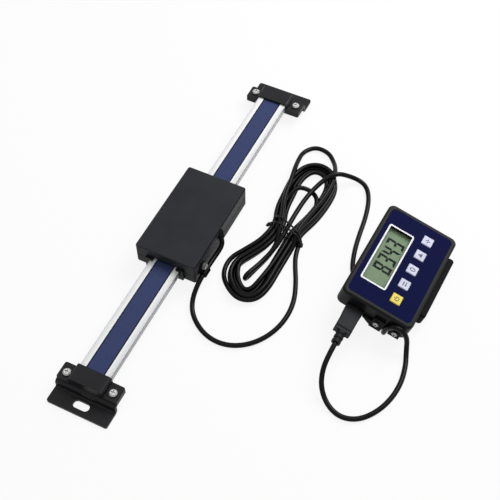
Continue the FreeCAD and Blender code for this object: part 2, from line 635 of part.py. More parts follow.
def reader_base():
    """Make the lower shell with ribs beside the shoes, screw bosses and four tapped fixing holes."""
    shell = prism(reader_outline(0), READER_BOTTOM, READER_SEAM_Z)
    shell = shell.makeChamfer(READER_FOOT_BEVEL, level_edges(shell, READER_BOTTOM))
    shell = shell.makeChamfer(READER_SEAM_BEVEL, level_edges(shell, READER_SEAM_Z))
    shell = shell.cut(prism(reader_outline(READER_WALL), SHOE_BOTTOM, READER_SEAM_Z + CUT))
    inner = READER_LENGTH / 2 - READER_WALL
    rib = SHOE_OUTSIDE + SHOE_SEAT_CLEARANCE
    added = [shell]
    for x, y in reader_screw_places():
        added.append(rod(BOSS_RADIUS, x, y, READER_BOTTOM, READER_SEAM_Z))
    fixing_top = READER_BOTTOM + FIXING_DEPTH + READER_FLOOR
    for x, y in four_places(FIXING_SPACING):
        added.append(rod(FIXING_BOSS_RADIUS, x, y, READER_BOTTOM, fixing_top))
    for side in (-1, 1):
        edges = sorted((side * rib, side * (rib + SHOE_RIB)))
        added.append(block(edges, (-inner, inner), (SHOE_BOTTOM, READER_SEAM_Z)))
    shell = fused(added).cut(shoe_tunnel())
    hole = (SMALL_SHANK + HOLE_CLEARANCE) / 2
    head = (SMALL_HEAD_WIDTH + HOLE_CLEARANCE) / 2
    below = READER_BOTTOM - CUT
    cuts = []
    for x, y in reader_screw_places():
        cuts.append(rod(hole, x, y, below, READER_SEAM_Z + CUT))
        cuts.append(rod(head, x, y, below, READER_BOTTOM + SMALL_HEAD_HEIGHT))
    for x, y in four_places(FIXING_SPACING):
        cuts.append(rod(FIXING_HOLE / 2, x, y, below, READER_BOTTOM + FIXING_DEPTH))
    return shell.cut(cuts)


def reader_screws():
    """Make the four screws up through the base into the cover."""
    length = READER_SEAM - SMALL_HEAD_HEIGHT + READER_SCREW_DEPTH - SCREW_TIP_ROOM
    seat = READER_BOTTOM + SMALL_HEAD_HEIGHT
    down = Vector(0, 0, -1)
    return Part.makeCompound([aimed(small_screw(length), Vector(x, y, seat), down)
                              for x, y in reader_screw_places()])


def sensor_board():
    """Make the sensing board over the strip, with its chip and the cable's connector on top."""
    width = 2 * (BEAM_SIDE - SHOE_LIP - SENSOR_SIDE_GAP)
    chip = block(span(0, CHIP_SIZE[0]), span(0, CHIP_SIZE[1]), (SENSOR_TOP, SENSOR_TOP + CHIP_SIZE[2]))
    connector = block(span(0, CONNECTOR_SIZE[0]), span(CONNECTOR_Y, CONNECTOR_SIZE[1]),
                      (SENSOR_TOP, SENSOR_TOP + CONNECTOR_SIZE[2]))
    plate = block(span(0, width), span(0, SENSOR_LENGTH), (SENSOR_BOTTOM, SENSOR_TOP))
    return fused([plate, chip, connector])


def grommet():
    """Make the tapered sleeve that the cable leaves the cover through."""
    return Part.makeCone(GROMMET_RADIUS, GROMMET_TIP_RADIUS, GROMMET_LENGTH, GROMMET_START, GROMMET_AIM)


def grommet_end():
    """Give the middle of the sleeve's outer face."""
    return GROMMET_START + Vector(GROMMET_AIM).normalize() * GROMMET_LENGTH


def cable_clip():
    """Make the strap clip: a loop round the cable and an ear under the screw."""
    width = (CLIP_Y - CLIP_WIDTH / 2, CLIP_Y + CLIP_WIDTH / 2)
    round_end = CLIP_WIDTH / 2 - 0.01
    ear_face = READER_SIDE + 2 * CLIP_STRAP
    ear_top = CLIP_SCREW_Z + CLIP_WIDTH / 2
    ear = sheet([(width[0], CLIP_LOOP_Z, 0), (width[1], CLIP_LOOP_Z, 0), (width[1], ear_top, round_end),
                 (width[0], ear_top, round_end)], READER_SIDE, ear_face)
    start = Vector(CLIP_LOOP.x, width[0], CLIP_LOOP_Z)
    along = Vector(0, 1, 0)
    clip = fused([ear, Part.makeCylinder(CLIP_OUTER_RADIUS, CLIP_WIDTH, start, along)])
    bore = Part.makeCylinder(CABLE_RADIUS + CABLE_FIT, CLIP_WIDTH + 2 * CUT, start - along * CUT, along)
    hole = Part.makeCylinder((SCREW_SHANK + HOLE_CLEARANCE) / 2, 2 * CLIP_STRAP + 2 * CUT,
                             Vector(READER_SIDE - CUT, CLIP_Y, CLIP_SCREW_Z), Vector(1, 0, 0))
    return clip.cut(bore).cut(hole)


def clip_screw():
    """Make the screw that holds the clip on the reader's side."""
    seat = Vector(READER_SIDE + 2 * CLIP_STRAP, CLIP_Y, CLIP_SCREW_Z)
    return aimed(large_screw(CLIP_SCREW_LENGTH), seat, Vector(1, 0, 0))


def run_radii(points, closed):
    """Give each turn the largest arc that its two runs leave room for."""
    count = len(points)
    radii = [0.0] * count
    for index in range(count):
        if closed or 0 < index < count - 1:
            back = points[index - 1] - points[index]
            ahead = points[(index + 1) % count] - points[index]
            half_turn = (math.pi - back.getAngle(ahead)) / 2
            radii[index] = 0.45 * min(back.Length, ahead.Length) / math.tan(half_turn)
    return radii


def tube(name, points):
    """Make a length of cable along runs and arcs, and print its radii and how true its volume is."""
    radii = run_radii(points, closed=False)
    path = Part.Wire(rounded_edges(points, radii, closed=False))
    section = Part.Wire(Part.makeCircle(CABLE_RADIUS, points[0], points[1] - points[0]))
    solid = path.makePipeShell([section], True, True)
    expected = math.pi * CABLE_RADIUS ** 2 * path.Length
    print(name, "length", round(path.Length, 1), "volume ratio", round(solid.Volume / expected, 4),
          "radii", [round(radius, 1) for radius in radii[1:-1]])
    return solid


def vectors(route):
    """Turn a route's points into vectors."""
    return [Vector(*point) for point in route]


def lead_exit():
    """Make the cable from the reader's sleeve to the middle of its clip."""
    start = grommet_end()
    bend = start + Vector(GROMMET_AIM).normalize() * EXIT_STRAIGHT
    into_clip = CLIP_LOOP + Vector(0, CLIP_STRAIGHT, 0)
    return tube("lead_exit", [start, bend] + vectors(EXIT_ROUTE) + [into_clip, CLIP_LOOP])


def reader_lead():
    """Make the cable from the clip to the hank, which follows the reader."""
    out_of_clip = CLIP_LOOP - Vector(0, CLIP_STRAIGHT, 0)
    return tube("reader_lead", [CLIP_LOOP, out_of_clip] + vectors(READER_ROUTE))


def display_lead():
    """Make the cable from the hank, under the display, up through its cradle and round to the plug."""
    relief_end = DISPLAY_FRAME.multVec(Vector(SOCKET_U, RELIEF_END_V, SOCKET_N))
    bend = DISPLAY_FRAME.multVec(Vector(SOCKET_U, RELIEF_END_V - RELIEF_STRAIGHT, SOCKET_N))
    return tube("display_lead", vectors(DISPLAY_ROUTE) + [bend, relief_end])


def hank_outline(route):
    """Give an outline of the hank its rounded corners."""
    points = [Vector(x, y, 0) for x, y in route]
    return [(point.x, point.y, radius) for point, radius in zip(points, run_radii(points, closed=True))]


def cable_hank():
    """Make the folded hank as one body with its two eyes and the loop that stands out of it."""
    body = prism(hank_outline(HANK_OUTLINE), HANK_LOW, HANK_HIGH)
    rims = level_edges(body, HANK_LOW) + level_edges(body, HANK_HIGH)
    body = body.makeChamfer(HANK_EDGE_BEVEL, rims)
    for eye in (HANK_LOWER_HOLE, HANK_UPPER_HOLE):
        body = body.cut(prism(hank_outline(eye), HANK_LOW - CUT, HANK_HIGH + CUT))
    return fused([body, tube("hank_loop", vectors(HANK_LOOP_ROUTE))])


def cable_tie():
    """Make the band round the hank's waist."""
    outer = rectangle(span(0, TIE_INNER_LENGTH + 2 * TIE_THICKNESS), (0, TIE_HEIGHT), TIE_CORNER_RADIUS)
    inner = rectangle(span(0, TIE_INNER_LENGTH), (TIE_THICKNESS, TIE_HEIGHT - TIE_THICKNESS),
                      TIE_CORNER_RADIUS - TIE_THICKNESS)
    band = bar(outer, -TIE_WIDTH / 2, TIE_WIDTH / 2).cut(bar(inner, -TIE_WIDTH, TIE_WIDTH))
    band.rotate(Vector(0, 0, 0), Vector(0, 0, 1), TIE_TURN)
    band.translate(Vector(TIE_CENTRE[0], TIE_CENTRE[1], 0))
    return band


def case_outline(inset):
    """Outline the display case, drawn in by a wall or a clearance."""
    return centred(CASE_WIDTH - 2 * inset, CASE_LENGTH - 2 * inset, CASE_CORNER_RADIUS - inset)


def case_screw_places():
    """List the four screws that hold the case together."""
    return four_places((CASE_WIDTH - 2 * CASE_SCREW_INSET, CASE_LENGTH - 2 * CASE_SCREW_INSET))


def key_places():
    """List the middles of the five keys, from the far end of the face to the near one."""
    pitch = (FAR_KEY_V - NEAR_KEY_V) / (len(KEY_NAMES) - 1)
    return [(KEY_U, FAR_KEY_V - step * pitch) for step in range(len(KEY_NAMES))]


def key_holes(low, high):
    """Make the five cutting shapes for the keys."""
    size = KEY_SIZE + 2 * KEY_SIDE_CLEARANCE
    radius = KEY_CORNER_RADIUS + KEY_SIDE_CLEARANCE
    return [prism(centred(size, size, radius, u, v), low, high) for u, v in key_places()]


def window_hole(low, high):
    """Make the cutting shape for the window."""
    return prism(centred(WINDOW_WIDTH, WINDOW_LENGTH, KEY_CORNER_RADIUS, WINDOW_U), low, high)


def display_front():
    """Make the face half of the case: a bevelled rim, a sunk field for the overlay, window and key holes."""
    shell = prism(case_outline(0), CASE_SEAM, CASE_THICKNESS)
    shell = shell.makeChamfer(CASE_FACE_BEVEL, level_edges(shell, CASE_THICKNESS))
    shell = shell.cut(prism(case_outline(CASE_WALL), CASE_SEAM - CUT, FACE_UNDERSIDE))
    bosses = [rod(BOSS_RADIUS, u, v, CASE_SEAM, FACE_UNDERSIDE) for u, v in case_screw_places()]
    shell = fused([shell] + bosses)
    field = centred(OVERLAY_WIDTH + 2 * OVERLAY_CLEARANCE, OVERLAY_LENGTH + 2 * OVERLAY_CLEARANCE,
                    OVERLAY_CORNER_RADIUS + OVERLAY_CLEARANCE)
    cuts = [prism(field, OVERLAY_SEAT, CASE_THICKNESS + CUT)]
    cuts.append(window_hole(FACE_UNDERSIDE - CUT, CASE_THICKNESS + CUT))
    cuts.extend(key_holes(FACE_UNDERSIDE - CUT, CASE_THICKNESS + CUT))
    pilot = (SMALL_SHANK + THREAD_CLEARANCE) / 2
    for u, v in case_screw_places():
        cuts.append(rod(pilot, u, v, CASE_SEAM - CUT, CASE_SEAM + CASE_SCREW_DEPTH))
    return shell.cut(cuts)


def display_back():
    """Make the back half of the case with its bosses, standoffs, battery opening and socket opening."""
    shell = prism(case_outline(0), 0, CASE_SEAM)
    shell = shell.makeChamfer(CASE_BACK_BEVEL, level_edges(shell, 0))
    shell = shell.cut(prism(case_outline(CASE_WALL), CASE_FLOOR, CASE_SEAM + CUT))
    added = [shell]
    for u, v in case_screw_places():
        added.append(rod(BOSS_RADIUS, u, v, 0, CASE_SEAM))
    for u, v in four_places(STANDOFF_SPACING):
        added.append(rod(STANDOFF_RADIUS, u, v, 0, BOARD_HEIGHT))
    inner_wall = NEAR_V + CASE_WALL
    for u, n in (LEFT_EAR_SCREW, RIGHT_EAR_SCREW):
        start = Vector(u, inner_wall, n)
        added.append(Part.makeCylinder(EAR_BOSS_RADIUS, EAR_BOSS_LENGTH, start, Vector(0, 1, 0)))
    shell = fused(added)
    cuts = [rod(door_radius() + DOOR_CLEARANCE, CELL_U, CELL_V, -CUT, CASE_FLOOR + CUT)]
    for u, v in case_screw_places():
        cuts.append(rod((SMALL_SHANK + HOLE_CLEARANCE) / 2, u, v, -CUT, CASE_SEAM + CUT))
        cuts.append(rod((SMALL_HEAD_WIDTH + HOLE_CLEARANCE) / 2, u, v, -CUT, SMALL_HEAD_HEIGHT))
    for u, n in (LEFT_EAR_SCREW, RIGHT_EAR_SCREW):
        cuts.append(Part.makeCylinder((SMALL_SHANK + THREAD_CLEARANCE) / 2, EAR_SCREW_LENGTH,
                                      Vector(u, NEAR_V - CUT, n), Vector(0, 1, 0)))
    cuts.append(block(span(SOCKET_U, SOCKET_WIDTH + 2 * BOARD_CLEARANCE), span(NEAR_V, 2 * CASE_WALL + CUT),
                      span(SOCKET_N, SOCKET_HEIGHT + 2 * DOOR_CLEARANCE)))
    return shell.cut(cuts)


def case_screws():
    """Make the four screws from the back into the face half."""
    length = CASE_SEAM - SMALL_HEAD_HEIGHT + CASE_SCREW_DEPTH - SCREW_TIP_ROOM
    screws = [aimed(small_screw(length), Vector(u, v, SMALL_HEAD_HEIGHT), Vector(0, 0, -1))
              for u, v in case_screw_places()]
    return Part.makeCompound(screws)


def overlay():
    """Make the printed sheet on the face."""
    outline = centred(OVERLAY_WIDTH, OVERLAY_LENGTH, OVERLAY_CORNER_RADIUS)
    cuts = key_holes(OVERLAY_SEAT - CUT, CASE_THICKNESS + CUT)
    cuts.append(window_hole(OVERLAY_SEAT - CUT, CASE_THICKNESS + CUT))
    return prism(outline, OVERLAY_SEAT, CASE_THICKNESS).cut(cuts)


def window_pane():
    """Make the clear pane under the window."""
    size = (WINDOW_WIDTH + 2 * PANE_LAP, WINDOW_LENGTH + 2 * PANE_LAP)
    return prism(centred(size[0], size[1], KEY_CORNER_RADIUS, WINDOW_U), PANE_BOTTOM, FACE_UNDERSIDE)


def lcd_corners(lap):
    """Outline the liquid-crystal panel, past the window by a lap."""
    return centred(WINDOW_WIDTH + 2 * lap, WINDOW_LENGTH + 2 * lap, 0, WINDOW_U)


def lcd_panel():
    """Make the liquid-crystal panel under the pane."""
    return prism(lcd_corners(LCD_LAP), LCD_BOTTOM, LCD_TOP)


def lcd_carrier():
    """Make the frame that holds the panel above the board."""
    frame = prism(lcd_corners(LCD_LAP), BOARD_TOP, LCD_BOTTOM)
    return frame.cut(prism(lcd_corners(LCD_LAP - CARRIER_WALL), BOARD_TOP - CUT, LCD_BOTTOM + CUT))


def display_board():
    """Make the main board, cut clear of the bosses."""
    inset = CASE_WALL + BOARD_CLEARANCE
    board = prism(case_outline(inset), BOARD_HEIGHT, BOARD_TOP)
    through = (BOARD_HEIGHT - CUT, BOARD_TOP + CUT)
    cuts = [rod(BOSS_RADIUS + BOARD_CLEARANCE, u, v, *through) for u, v in case_screw_places()]
    cuts.append(block((BOARD_CUT_U, CASE_WIDTH), (-CASE_LENGTH, NEAR_V + BOARD_CUT_LENGTH), through))
    return board.cut(cuts)


def key(u, v):
    """Make one key: a cap with a flange under the face and a short stem over its switch."""
    flange_size = KEY_SIZE + 2 * KEY_FLANGE
    flange_bottom = KEY_FLANGE_TOP - KEY_FLANGE_THICKNESS
    cap_shape = prism(centred(KEY_SIZE, KEY_SIZE, KEY_CORNER_RADIUS, u, v), flange_bottom,
                      CASE_THICKNESS + KEY_PROUD)
    cap_shape = cap_shape.makeChamfer(KEY_PROUD / 2, level_edges(cap_shape, CASE_THICKNESS + KEY_PROUD))
    flange = prism(centred(flange_size, flange_size, KEY_CORNER_RADIUS, u, v), flange_bottom, KEY_FLANGE_TOP)
    stem = rod(SWITCH_PLUNGER_RADIUS, u, v, KEY_BOTTOM, flange_bottom)
    return fused([cap_shape, flange, stem])


def key_switches():
    """Make the five switches on the board under the keys."""
    switches = []
    for u, v in key_places():
        body = block(span(u, SWITCH_SIZE), span(v, SWITCH_SIZE), (BOARD_TOP, BOARD_TOP + SWITCH_BODY_HEIGHT))
        plunger = rod(SWITCH_PLUNGER_RADIUS, u, v, BOARD_TOP + SWITCH_BODY_HEIGHT, SWITCH_TOP)
        switches.append(fused([body, plunger]))
    return Part.makeCompound(switches)


def door_radius():
    """Give the battery door's radius from the cell that it holds."""
    return CELL_DIAMETER / 2 + DOOR_CLEARANCE + DOOR_RIM


def battery_door():
    """Make the round door in the back, with a rim round the cell and a coin slot."""
    radius = door_radius()
    door = rod(radius, CELL_U, CELL_V, 0, CASE_FLOOR + DOOR_RIM_HEIGHT)
    door = door.cut(rod(radius - DOOR_RIM, CELL_U, CELL_V, CASE_FLOOR, CASE_FLOOR + DOOR_RIM_HEIGHT + CUT))
    slot = block(span(CELL_U, DOOR_SLOT[0]), span(CELL_V, DOOR_SLOT[1]), (-CUT, DOOR_SLOT[2]))
    return door.cut(slot)


def coin_cell():
    """Make the coin cell on the door."""
    cell = rod(CELL_DIAMETER / 2, CELL_U, CELL_V, CASE_FLOOR, CASE_FLOOR + CELL_THICKNESS)
    return cell.makeChamfer(CELL_THICKNESS / 8, level_edges(cell, CASE_FLOOR + CELL_THICKNESS))


def cell_contact():
    """Make the spring contact between the cell and the board."""
    return block(span(CELL_U, CONTACT_WIDTH), span(CELL_V, CONTACT_LENGTH),
                 (CASE_FLOOR + CELL_THICKNESS, BOARD_HEIGHT))


def usb_socket():
    """Make the socket: a metal shell with a tongue inside, open to the near side."""
    mouth = NEAR_V + SOCKET_SUNK
    depth = (mouth, mouth + SOCKET_DEPTH)
    inner_width = SOCKET_WIDTH - 2 * SOCKET_WALL
    inner_height = SOCKET_HEIGHT - 2 * SOCKET_WALL
    shell = block(span(SOCKET_U, SOCKET_WIDTH), depth, span(SOCKET_N, SOCKET_HEIGHT))
    back = depth[1] - SOCKET_BACK
    shell = shell.cut(block(span(SOCKET_U, inner_width), (mouth - CUT, back), span(SOCKET_N, inner_height)))
    tongue = block(span(SOCKET_U, SOCKET_TONGUE[0]), (mouth + SOCKET_BACK, back),
                   span(SOCKET_N, SOCKET_TONGUE[1]))
    return fused([shell, tongue])


def plug_shell():
    """Make the plug's metal sleeve, inside the socket round its tongue."""
    width = SOCKET_WIDTH - 2 * SOCKET_WALL - 2 * PLUG_FIT
    height = SOCKET_HEIGHT - 2 * SOCKET_WALL - 2 * PLUG_FIT
    length = (PLUG_FRONT_V, PLUG_FRONT_V + PLUG_INSERTION)
    sleeve = block(span(SOCKET_U, width), length, span(SOCKET_N, height))
    inside = block(span(SOCKET_U, width - 2 * PLUG_SHELL_WALL), (length[0] - CUT, length[1] + CUT),
                   span(SOCKET_N, height - 2 * PLUG_SHELL_WALL))
    return sleeve.cut(inside)


def plug_body():
    """Make the moulded grip, broad in front of its waist, with a lower neck behind it."""
    heights = span(SOCKET_N, PLUG_THICKNESS)
    back = PLUG_FRONT_V - PLUG_LENGTH
    left, right = span(SOCKET_U, PLUG_WIDTH)
    waist_left, waist_right = left + PLUG_WAIST_INSET, right - PLUG_WAIST_INSET
    shoulder_start, shoulder_end = (PLUG_FRONT_V - reach for reach in PLUG_SHOULDER)
    grip_corners = [(left, PLUG_FRONT_V, 0), (left, shoulder_start, 0), (waist_left, shoulder_end, 0),
                    (waist_left, back, 0), (waist_right, back, 0), (waist_right, shoulder_end, 0),
                    (right, shoulder_start, 0), (right, PLUG_FRONT_V, 0)]
    grip = prism(grip_corners, heights[0], heights[1])
    rims = level_edges(grip, heights[0]) + level_edges(grip, heights[1])
    grip = grip.makeChamfer(PLUG_EDGE_RADIUS * 0.7, rims)
    neck_width = (waist_left, waist_right)
    neck_heights = span(SOCKET_N, PLUG_THICKNESS - 2 * PLUG_NECK_INSET)
    neck = bar(rectangle(neck_width, neck_heights, PLUG_EDGE_RADIUS), back - PLUG_NECK_LENGTH, back)
    return fused([grip, neck])


def plug_relief():
    """Make the ribbed, tapering sleeve behind the plug."""
    rib = RELIEF_LENGTH / (2 * RELIEF_RIBS - 1)
    taper = (RELIEF_RADIUS - RELIEF_TIP_RADIUS) / RELIEF_LENGTH
    points = [Vector(SOCKET_U, RELIEF_FRONT_V, SOCKET_N)]
    for step in range(2 * RELIEF_RIBS - 1):
        groove = RELIEF_GROOVE_DEPTH if step % 2 else 0.0
        for reach in (step * rib, (step + 1) * rib):
            radius = RELIEF_RADIUS - taper * reach - groove
            points.append(Vector(SOCKET_U + radius, RELIEF_FRONT_V - reach, SOCKET_N))
    points.append(Vector(SOCKET_U, RELIEF_END_V, SOCKET_N))
    section = Part.Face(Part.makePolygon(points + [points[0]]))
    return section.revolve(points[0], Vector(0, 1, 0), 360)


def cradle():
    """Make the display's stand and cut it flat where it meets the surface it stands on."""
    left_of_slot, right_of_slot = CABLE_SLOT
    under = -TRAY_THICKNESS
    deep = -CASE_WIDTH
    tray_u = (TRAY_LEFT_U, RAIL_OUTSIDE_U)
    tray_v = (TRAY_NEAR_V, TRAY_FAR_V)
    tray = prism(rectangle(tray_u, tray_v, TRAY_CORNER_RADIUS), under, 0)
    tongue = block((STOP_LEFT_U + STOP_ROUNDING, RIGHT_EAR_U),
                   (STOP_FRONT_V, TRAY_NEAR_V + TRAY_CORNER_RADIUS), (under, 0))
    rail = prism(rectangle((RAIL_INSIDE_U, RAIL_OUTSIDE_U), tray_v, RAIL_END_RADIUS), deep, RAIL_HEIGHT)
    rail = rail.makeChamfer(RAIL_TOP_BEVEL, level_edges(rail, RAIL_HEIGHT))
    left_stop = bar([(STOP_LEFT_U, STOP_LEFT_HEIGHT - EAR_EDGE_RADIUS, EAR_EDGE_RADIUS / 2),
                     (STOP_BEND[0], STOP_BEND[1], STOP_ROUNDING),
                     (STOP_FLAT_U, under, 0), (left_of_slot, under, 0),
                     (left_of_slot, EAR_HEIGHT, EAR_EDGE_RADIUS), (LEFT_EAR_U, EAR_HEIGHT, EAR_EDGE_RADIUS),
                     (LEFT_EAR_U, STOP_LEFT_HEIGHT, 0), (STOP_LEFT_U, STOP_LEFT_HEIGHT, 0)],
                    STOP_FRONT_V, STOP_BACK_V)
    right_stop = bar([(right_of_slot, under, 0), (RIGHT_EAR_U, under, EAR_EDGE_RADIUS),
                      (RIGHT_EAR_U, EAR_HEIGHT, EAR_ROUNDING), (right_of_slot, EAR_HEIGHT, EAR_ROUNDING)],
                     STOP_FRONT_V, STOP_BACK_V)
    far_v = (TRAY_FAR_V - TRAY_CORNER_RADIUS - FOOT_WALL, TRAY_FAR_V - TRAY_CORNER_RADIUS)
    foot_u = (TRAY_LEFT_U, TRAY_LEFT_U + FOOT_WALL)
    foot = block(foot_u, (FOOT_NEAR_V, far_v[1]), (deep, under))
    ribs = [block((TRAY_LEFT_U, RAIL_INSIDE_U), v_range, (deep, under))
            for v_range in (far_v, (FOOT_NEAR_V, FOOT_NEAR_V + FOOT_WALL))]
    stand = fused([tray, tongue, rail, left_stop, right_stop, foot] + ribs)
    bevel_reach, bevel_height = RIGHT_EAR_BEVEL
    bevel = sheet([(STOP_FRONT_V - bevel_reach, under + 2 * bevel_height, 0),
                   (STOP_FRONT_V - bevel_reach, under - bevel_height, 0),
                   (STOP_FRONT_V + 2 * bevel_reach, under - bevel_height, 0)],
                  right_of_slot, RIGHT_EAR_U + CUT)
    stand = stand.cut(bevel)
    slot = block(CABLE_SLOT, (STOP_FRONT_V - CUT, CABLE_SLOT_BACK_V), (under - CUT, EAR_HEIGHT + CUT))
    stand = stand.cut(slot)
    for u, n in (LEFT_EAR_SCREW, RIGHT_EAR_SCREW):
        stand = stand.cut(Part.makeCylinder((SMALL_SHANK + HOLE_CLEARANCE) / 2, STOP_THICKNESS + 2 * CUT,
                                            Vector(u, STOP_FRONT_V - CUT, n), Vector(0, 1, 0)))
    reach = 2 * CASE_LENGTH
    ground = block(span(DISPLAY_BACK.x, reach), span(DISPLAY_BACK.y, reach), (-reach, 0))
    return on_display(stand).cut(ground)


def cradle_screws():
    """Make the two screws through the cradle's ears into the case."""
    screws = [aimed(small_screw(EAR_SCREW_LENGTH), Vector(u, STOP_FRONT_V, n), Vector(0, -1, 0))
              for u, n in (LEFT_EAR_SCREW, RIGHT_EAR_SCREW)]
    return Part.makeCompound(screws)


def build_nodes():
    """Build every piece under its own name."""
    far_bracket = bracket()
    far_cap = cap()
    right_shoe = shoe()
    nodes = {
        "beam": beam(),
        "scale_strip": strip_layer(RECESS_FLOOR, STRIP_THICKNESS),
        "beam_film": strip_layer(RECESS_FLOOR + STRIP_THICKNESS, FILM_THICKNESS),
        "far_bracket": far_bracket,
        "near_bracket": half_turned(far_bracket),
        "far_cap": far_cap,
        "near_cap": half_turned(far_cap),
        "cap_screws": cap_screws(),
        "reader_cover": reader_cover(),
        "reader_base": reader_base(),
        "reader_screws": reader_screws(),
        "sensor_board": sensor_board(),
        "right_shoe": right_shoe,
        "left_shoe": half_turned(right_shoe),
        "cable_grommet": grommet(),
        "cable_clip": cable_clip(),
        "clip_screw": clip_screw(),
        "lead_exit": lead_exit(),
        "reader_lead": reader_lead(),
        "display_lead": display_lead(),
        "cable_hank": cable_hank(),
        "cable_tie": cable_tie(),
        "display_cradle": cradle(),
    }
    on_case = {
        "display_front": display_front(),
        "display_back": display_back(),
        "case_screws": case_screws(),
        "overlay": overlay(),
        "window_pane": window_pane(),
        "lcd_panel": lcd_panel(),
        "lcd_carrier": lcd_carrier(),
        "display_board": display_board(),
        "key_switches": key_switches(),
        "battery_door": battery_door(),
        "coin_cell": coin_cell(),
        "cell_contact": cell_contact(),
        "usb_socket": usb_socket(),
        "plug_shell": plug_shell(),
        "plug_body": plug_body(),
        "plug_relief": plug_relief(),
        "cradle_screws": cradle_screws(),
    }
    for name, (u, v) in zip(KEY_NAMES, key_places()):
        on_case[name] = key(u, v)
    nodes.update({name: on_display(shape) for name, shape in on_case.items()})
    return nodes


os.makedirs("parts", exist_ok=True)
for node_name, node_shape in build_nodes().items():
    node_shape.exportStep(os.path.join("parts", node_name + ".step"))
print("reader travel each way", round(CAP_INNER_END - READER_LENGTH / 2 - SHOE_PROUD, 2))
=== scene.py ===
import json
import math

import bmesh
import bpy
from bpy.props import FloatProperty, FloatVectorProperty, PointerProperty, StringProperty
from mathutils import Color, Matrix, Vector


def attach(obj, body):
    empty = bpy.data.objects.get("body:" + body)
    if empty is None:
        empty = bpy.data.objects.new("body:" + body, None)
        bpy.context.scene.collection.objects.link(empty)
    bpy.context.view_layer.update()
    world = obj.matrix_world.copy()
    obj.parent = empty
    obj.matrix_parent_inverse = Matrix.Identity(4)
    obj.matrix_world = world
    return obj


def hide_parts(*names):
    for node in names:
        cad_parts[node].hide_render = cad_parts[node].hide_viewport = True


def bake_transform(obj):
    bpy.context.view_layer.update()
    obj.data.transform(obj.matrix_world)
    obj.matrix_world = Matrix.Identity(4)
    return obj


bl_info = {
    "name": "Linear scale dressing",
    "version": (1, 0, 0),
    "blender": (4, 5, 0),
    "location": "View3D > Sidebar > Linear scale",
    "description": "Finishes, cables, tie, display figures and a plain stage for a digital linear scale",
    "category": "Object",
}

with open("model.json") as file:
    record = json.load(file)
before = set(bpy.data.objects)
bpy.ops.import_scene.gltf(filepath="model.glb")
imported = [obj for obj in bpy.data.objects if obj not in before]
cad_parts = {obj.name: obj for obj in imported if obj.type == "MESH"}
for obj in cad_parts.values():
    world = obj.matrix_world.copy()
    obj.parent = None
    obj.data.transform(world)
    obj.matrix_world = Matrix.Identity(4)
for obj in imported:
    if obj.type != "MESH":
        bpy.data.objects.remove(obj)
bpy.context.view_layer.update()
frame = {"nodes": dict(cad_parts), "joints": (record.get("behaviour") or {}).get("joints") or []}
NODES = frame["nodes"]
MM = 0.001

# Routes of the cable, in millimetres
READER_CABLE = [(24.62, -3.46, 15.89), (26.11, -4.78, 14.55), (26.9, -7.6, 12.6), (26.5, -12.2, 11.0),
                (26.0, -18.0, 10.4), (25.8, -24.6, 10.5), (25.8, -30.4, 10.5), (25.8, -36.2, 10.5),
                (25.5, -43.4, 7.2), (26.3, -50.6, 3.2), (30.2, -58.4, 1.8), (37.6, -65.4, 1.8),
                (46.8, -70.4, 1.8), (57.4, -72.0, 1.8), (68.2, -69.2, 1.8), (78.0, -61.8, 1.8),
                (85.4, -50.4, 1.8), (89.2, -36.4, 1.8), (88.6, -21.0, 1.8), (83.2, -6.2, 1.8),
                (76.8, 6.4, 1.8), (73.2, 15.0, 2.0), (72.0, 22.4, 2.4)]
HANK_START = [(72.0, 22.4, 2.4), (71.4, 25.4, 2.8)]
HANK_MIDDLE = [(65.6, 30.0), (71.0, 49.0), (73.2, 66.0), (73.0, 80.0), (67.4, 90.6), (57.6, 94.0),
               (49.2, 89.0), (45.4, 76.0), (46.6, 61.0), (47.8, 45.5), (53.2, 31.0), (50.6, 14.6),
               (44.8, 2.2), (38.6, -9.0), (39.6, -20.0), (46.6, -28.4), (54.8, -32.8), (61.6, -29.8),
               (64.8, -20.0), (64.8, -2.0), (65.4, 16.0)]
# The fourth turn is short: its far fold crosses the far eye and rises over the inner strand on the left
SHORT_FOLD = {2: (70.0, 58.0, 6.0), 3: (67.4, 65.0, 6.0), 4: (62.0, 69.0, 5.8),
              5: (55.8, 69.4, 6.6), 6: (51.2, 67.0, 7.6), 7: (49.0, 61.6, 7.2),
              8: (47.8, 54.0, 5.6)}
# The third turn ends short of the others at the near end and lies inside them
INNER_FOLD = {14: (44.0, -18.2, 4.4), 15: (48.6, -24.0, 2.6), 16: (54.0, -27.2, 2.1),
              17: (58.4, -24.9, 3.6), 18: (60.4, -18.0, 4.9)}
# One turn stands out at the far end and lies on the table there
STAND_OUT_TURN = [(69.6, 21.6, 6.4), (68.6, 26.6, 9.6), (67.8, 32.0, 10.4), (70.0, 48.0, 9.4),
                  (72.8, 66.0, 9.1), (72.6, 80.0, 9.0), (70.8, 90.0, 8.8), (68.0, 97.6, 5.6),
                  (64.2, 104.6, 2.6), (56.6, 112.6, 1.8), (45.4, 113.6, 1.8), (38.8, 104.8, 2.0),
                  (39.8, 93.0, 5.0), (42.2, 80.5, 8.6), (44.4, 69.7, 9.0), (45.8, 58.6, 9.1),
                  (48.4, 48.0, 9.1), (52.0, 39.0, 9.7), (54.4, 31.0, 10.1)]
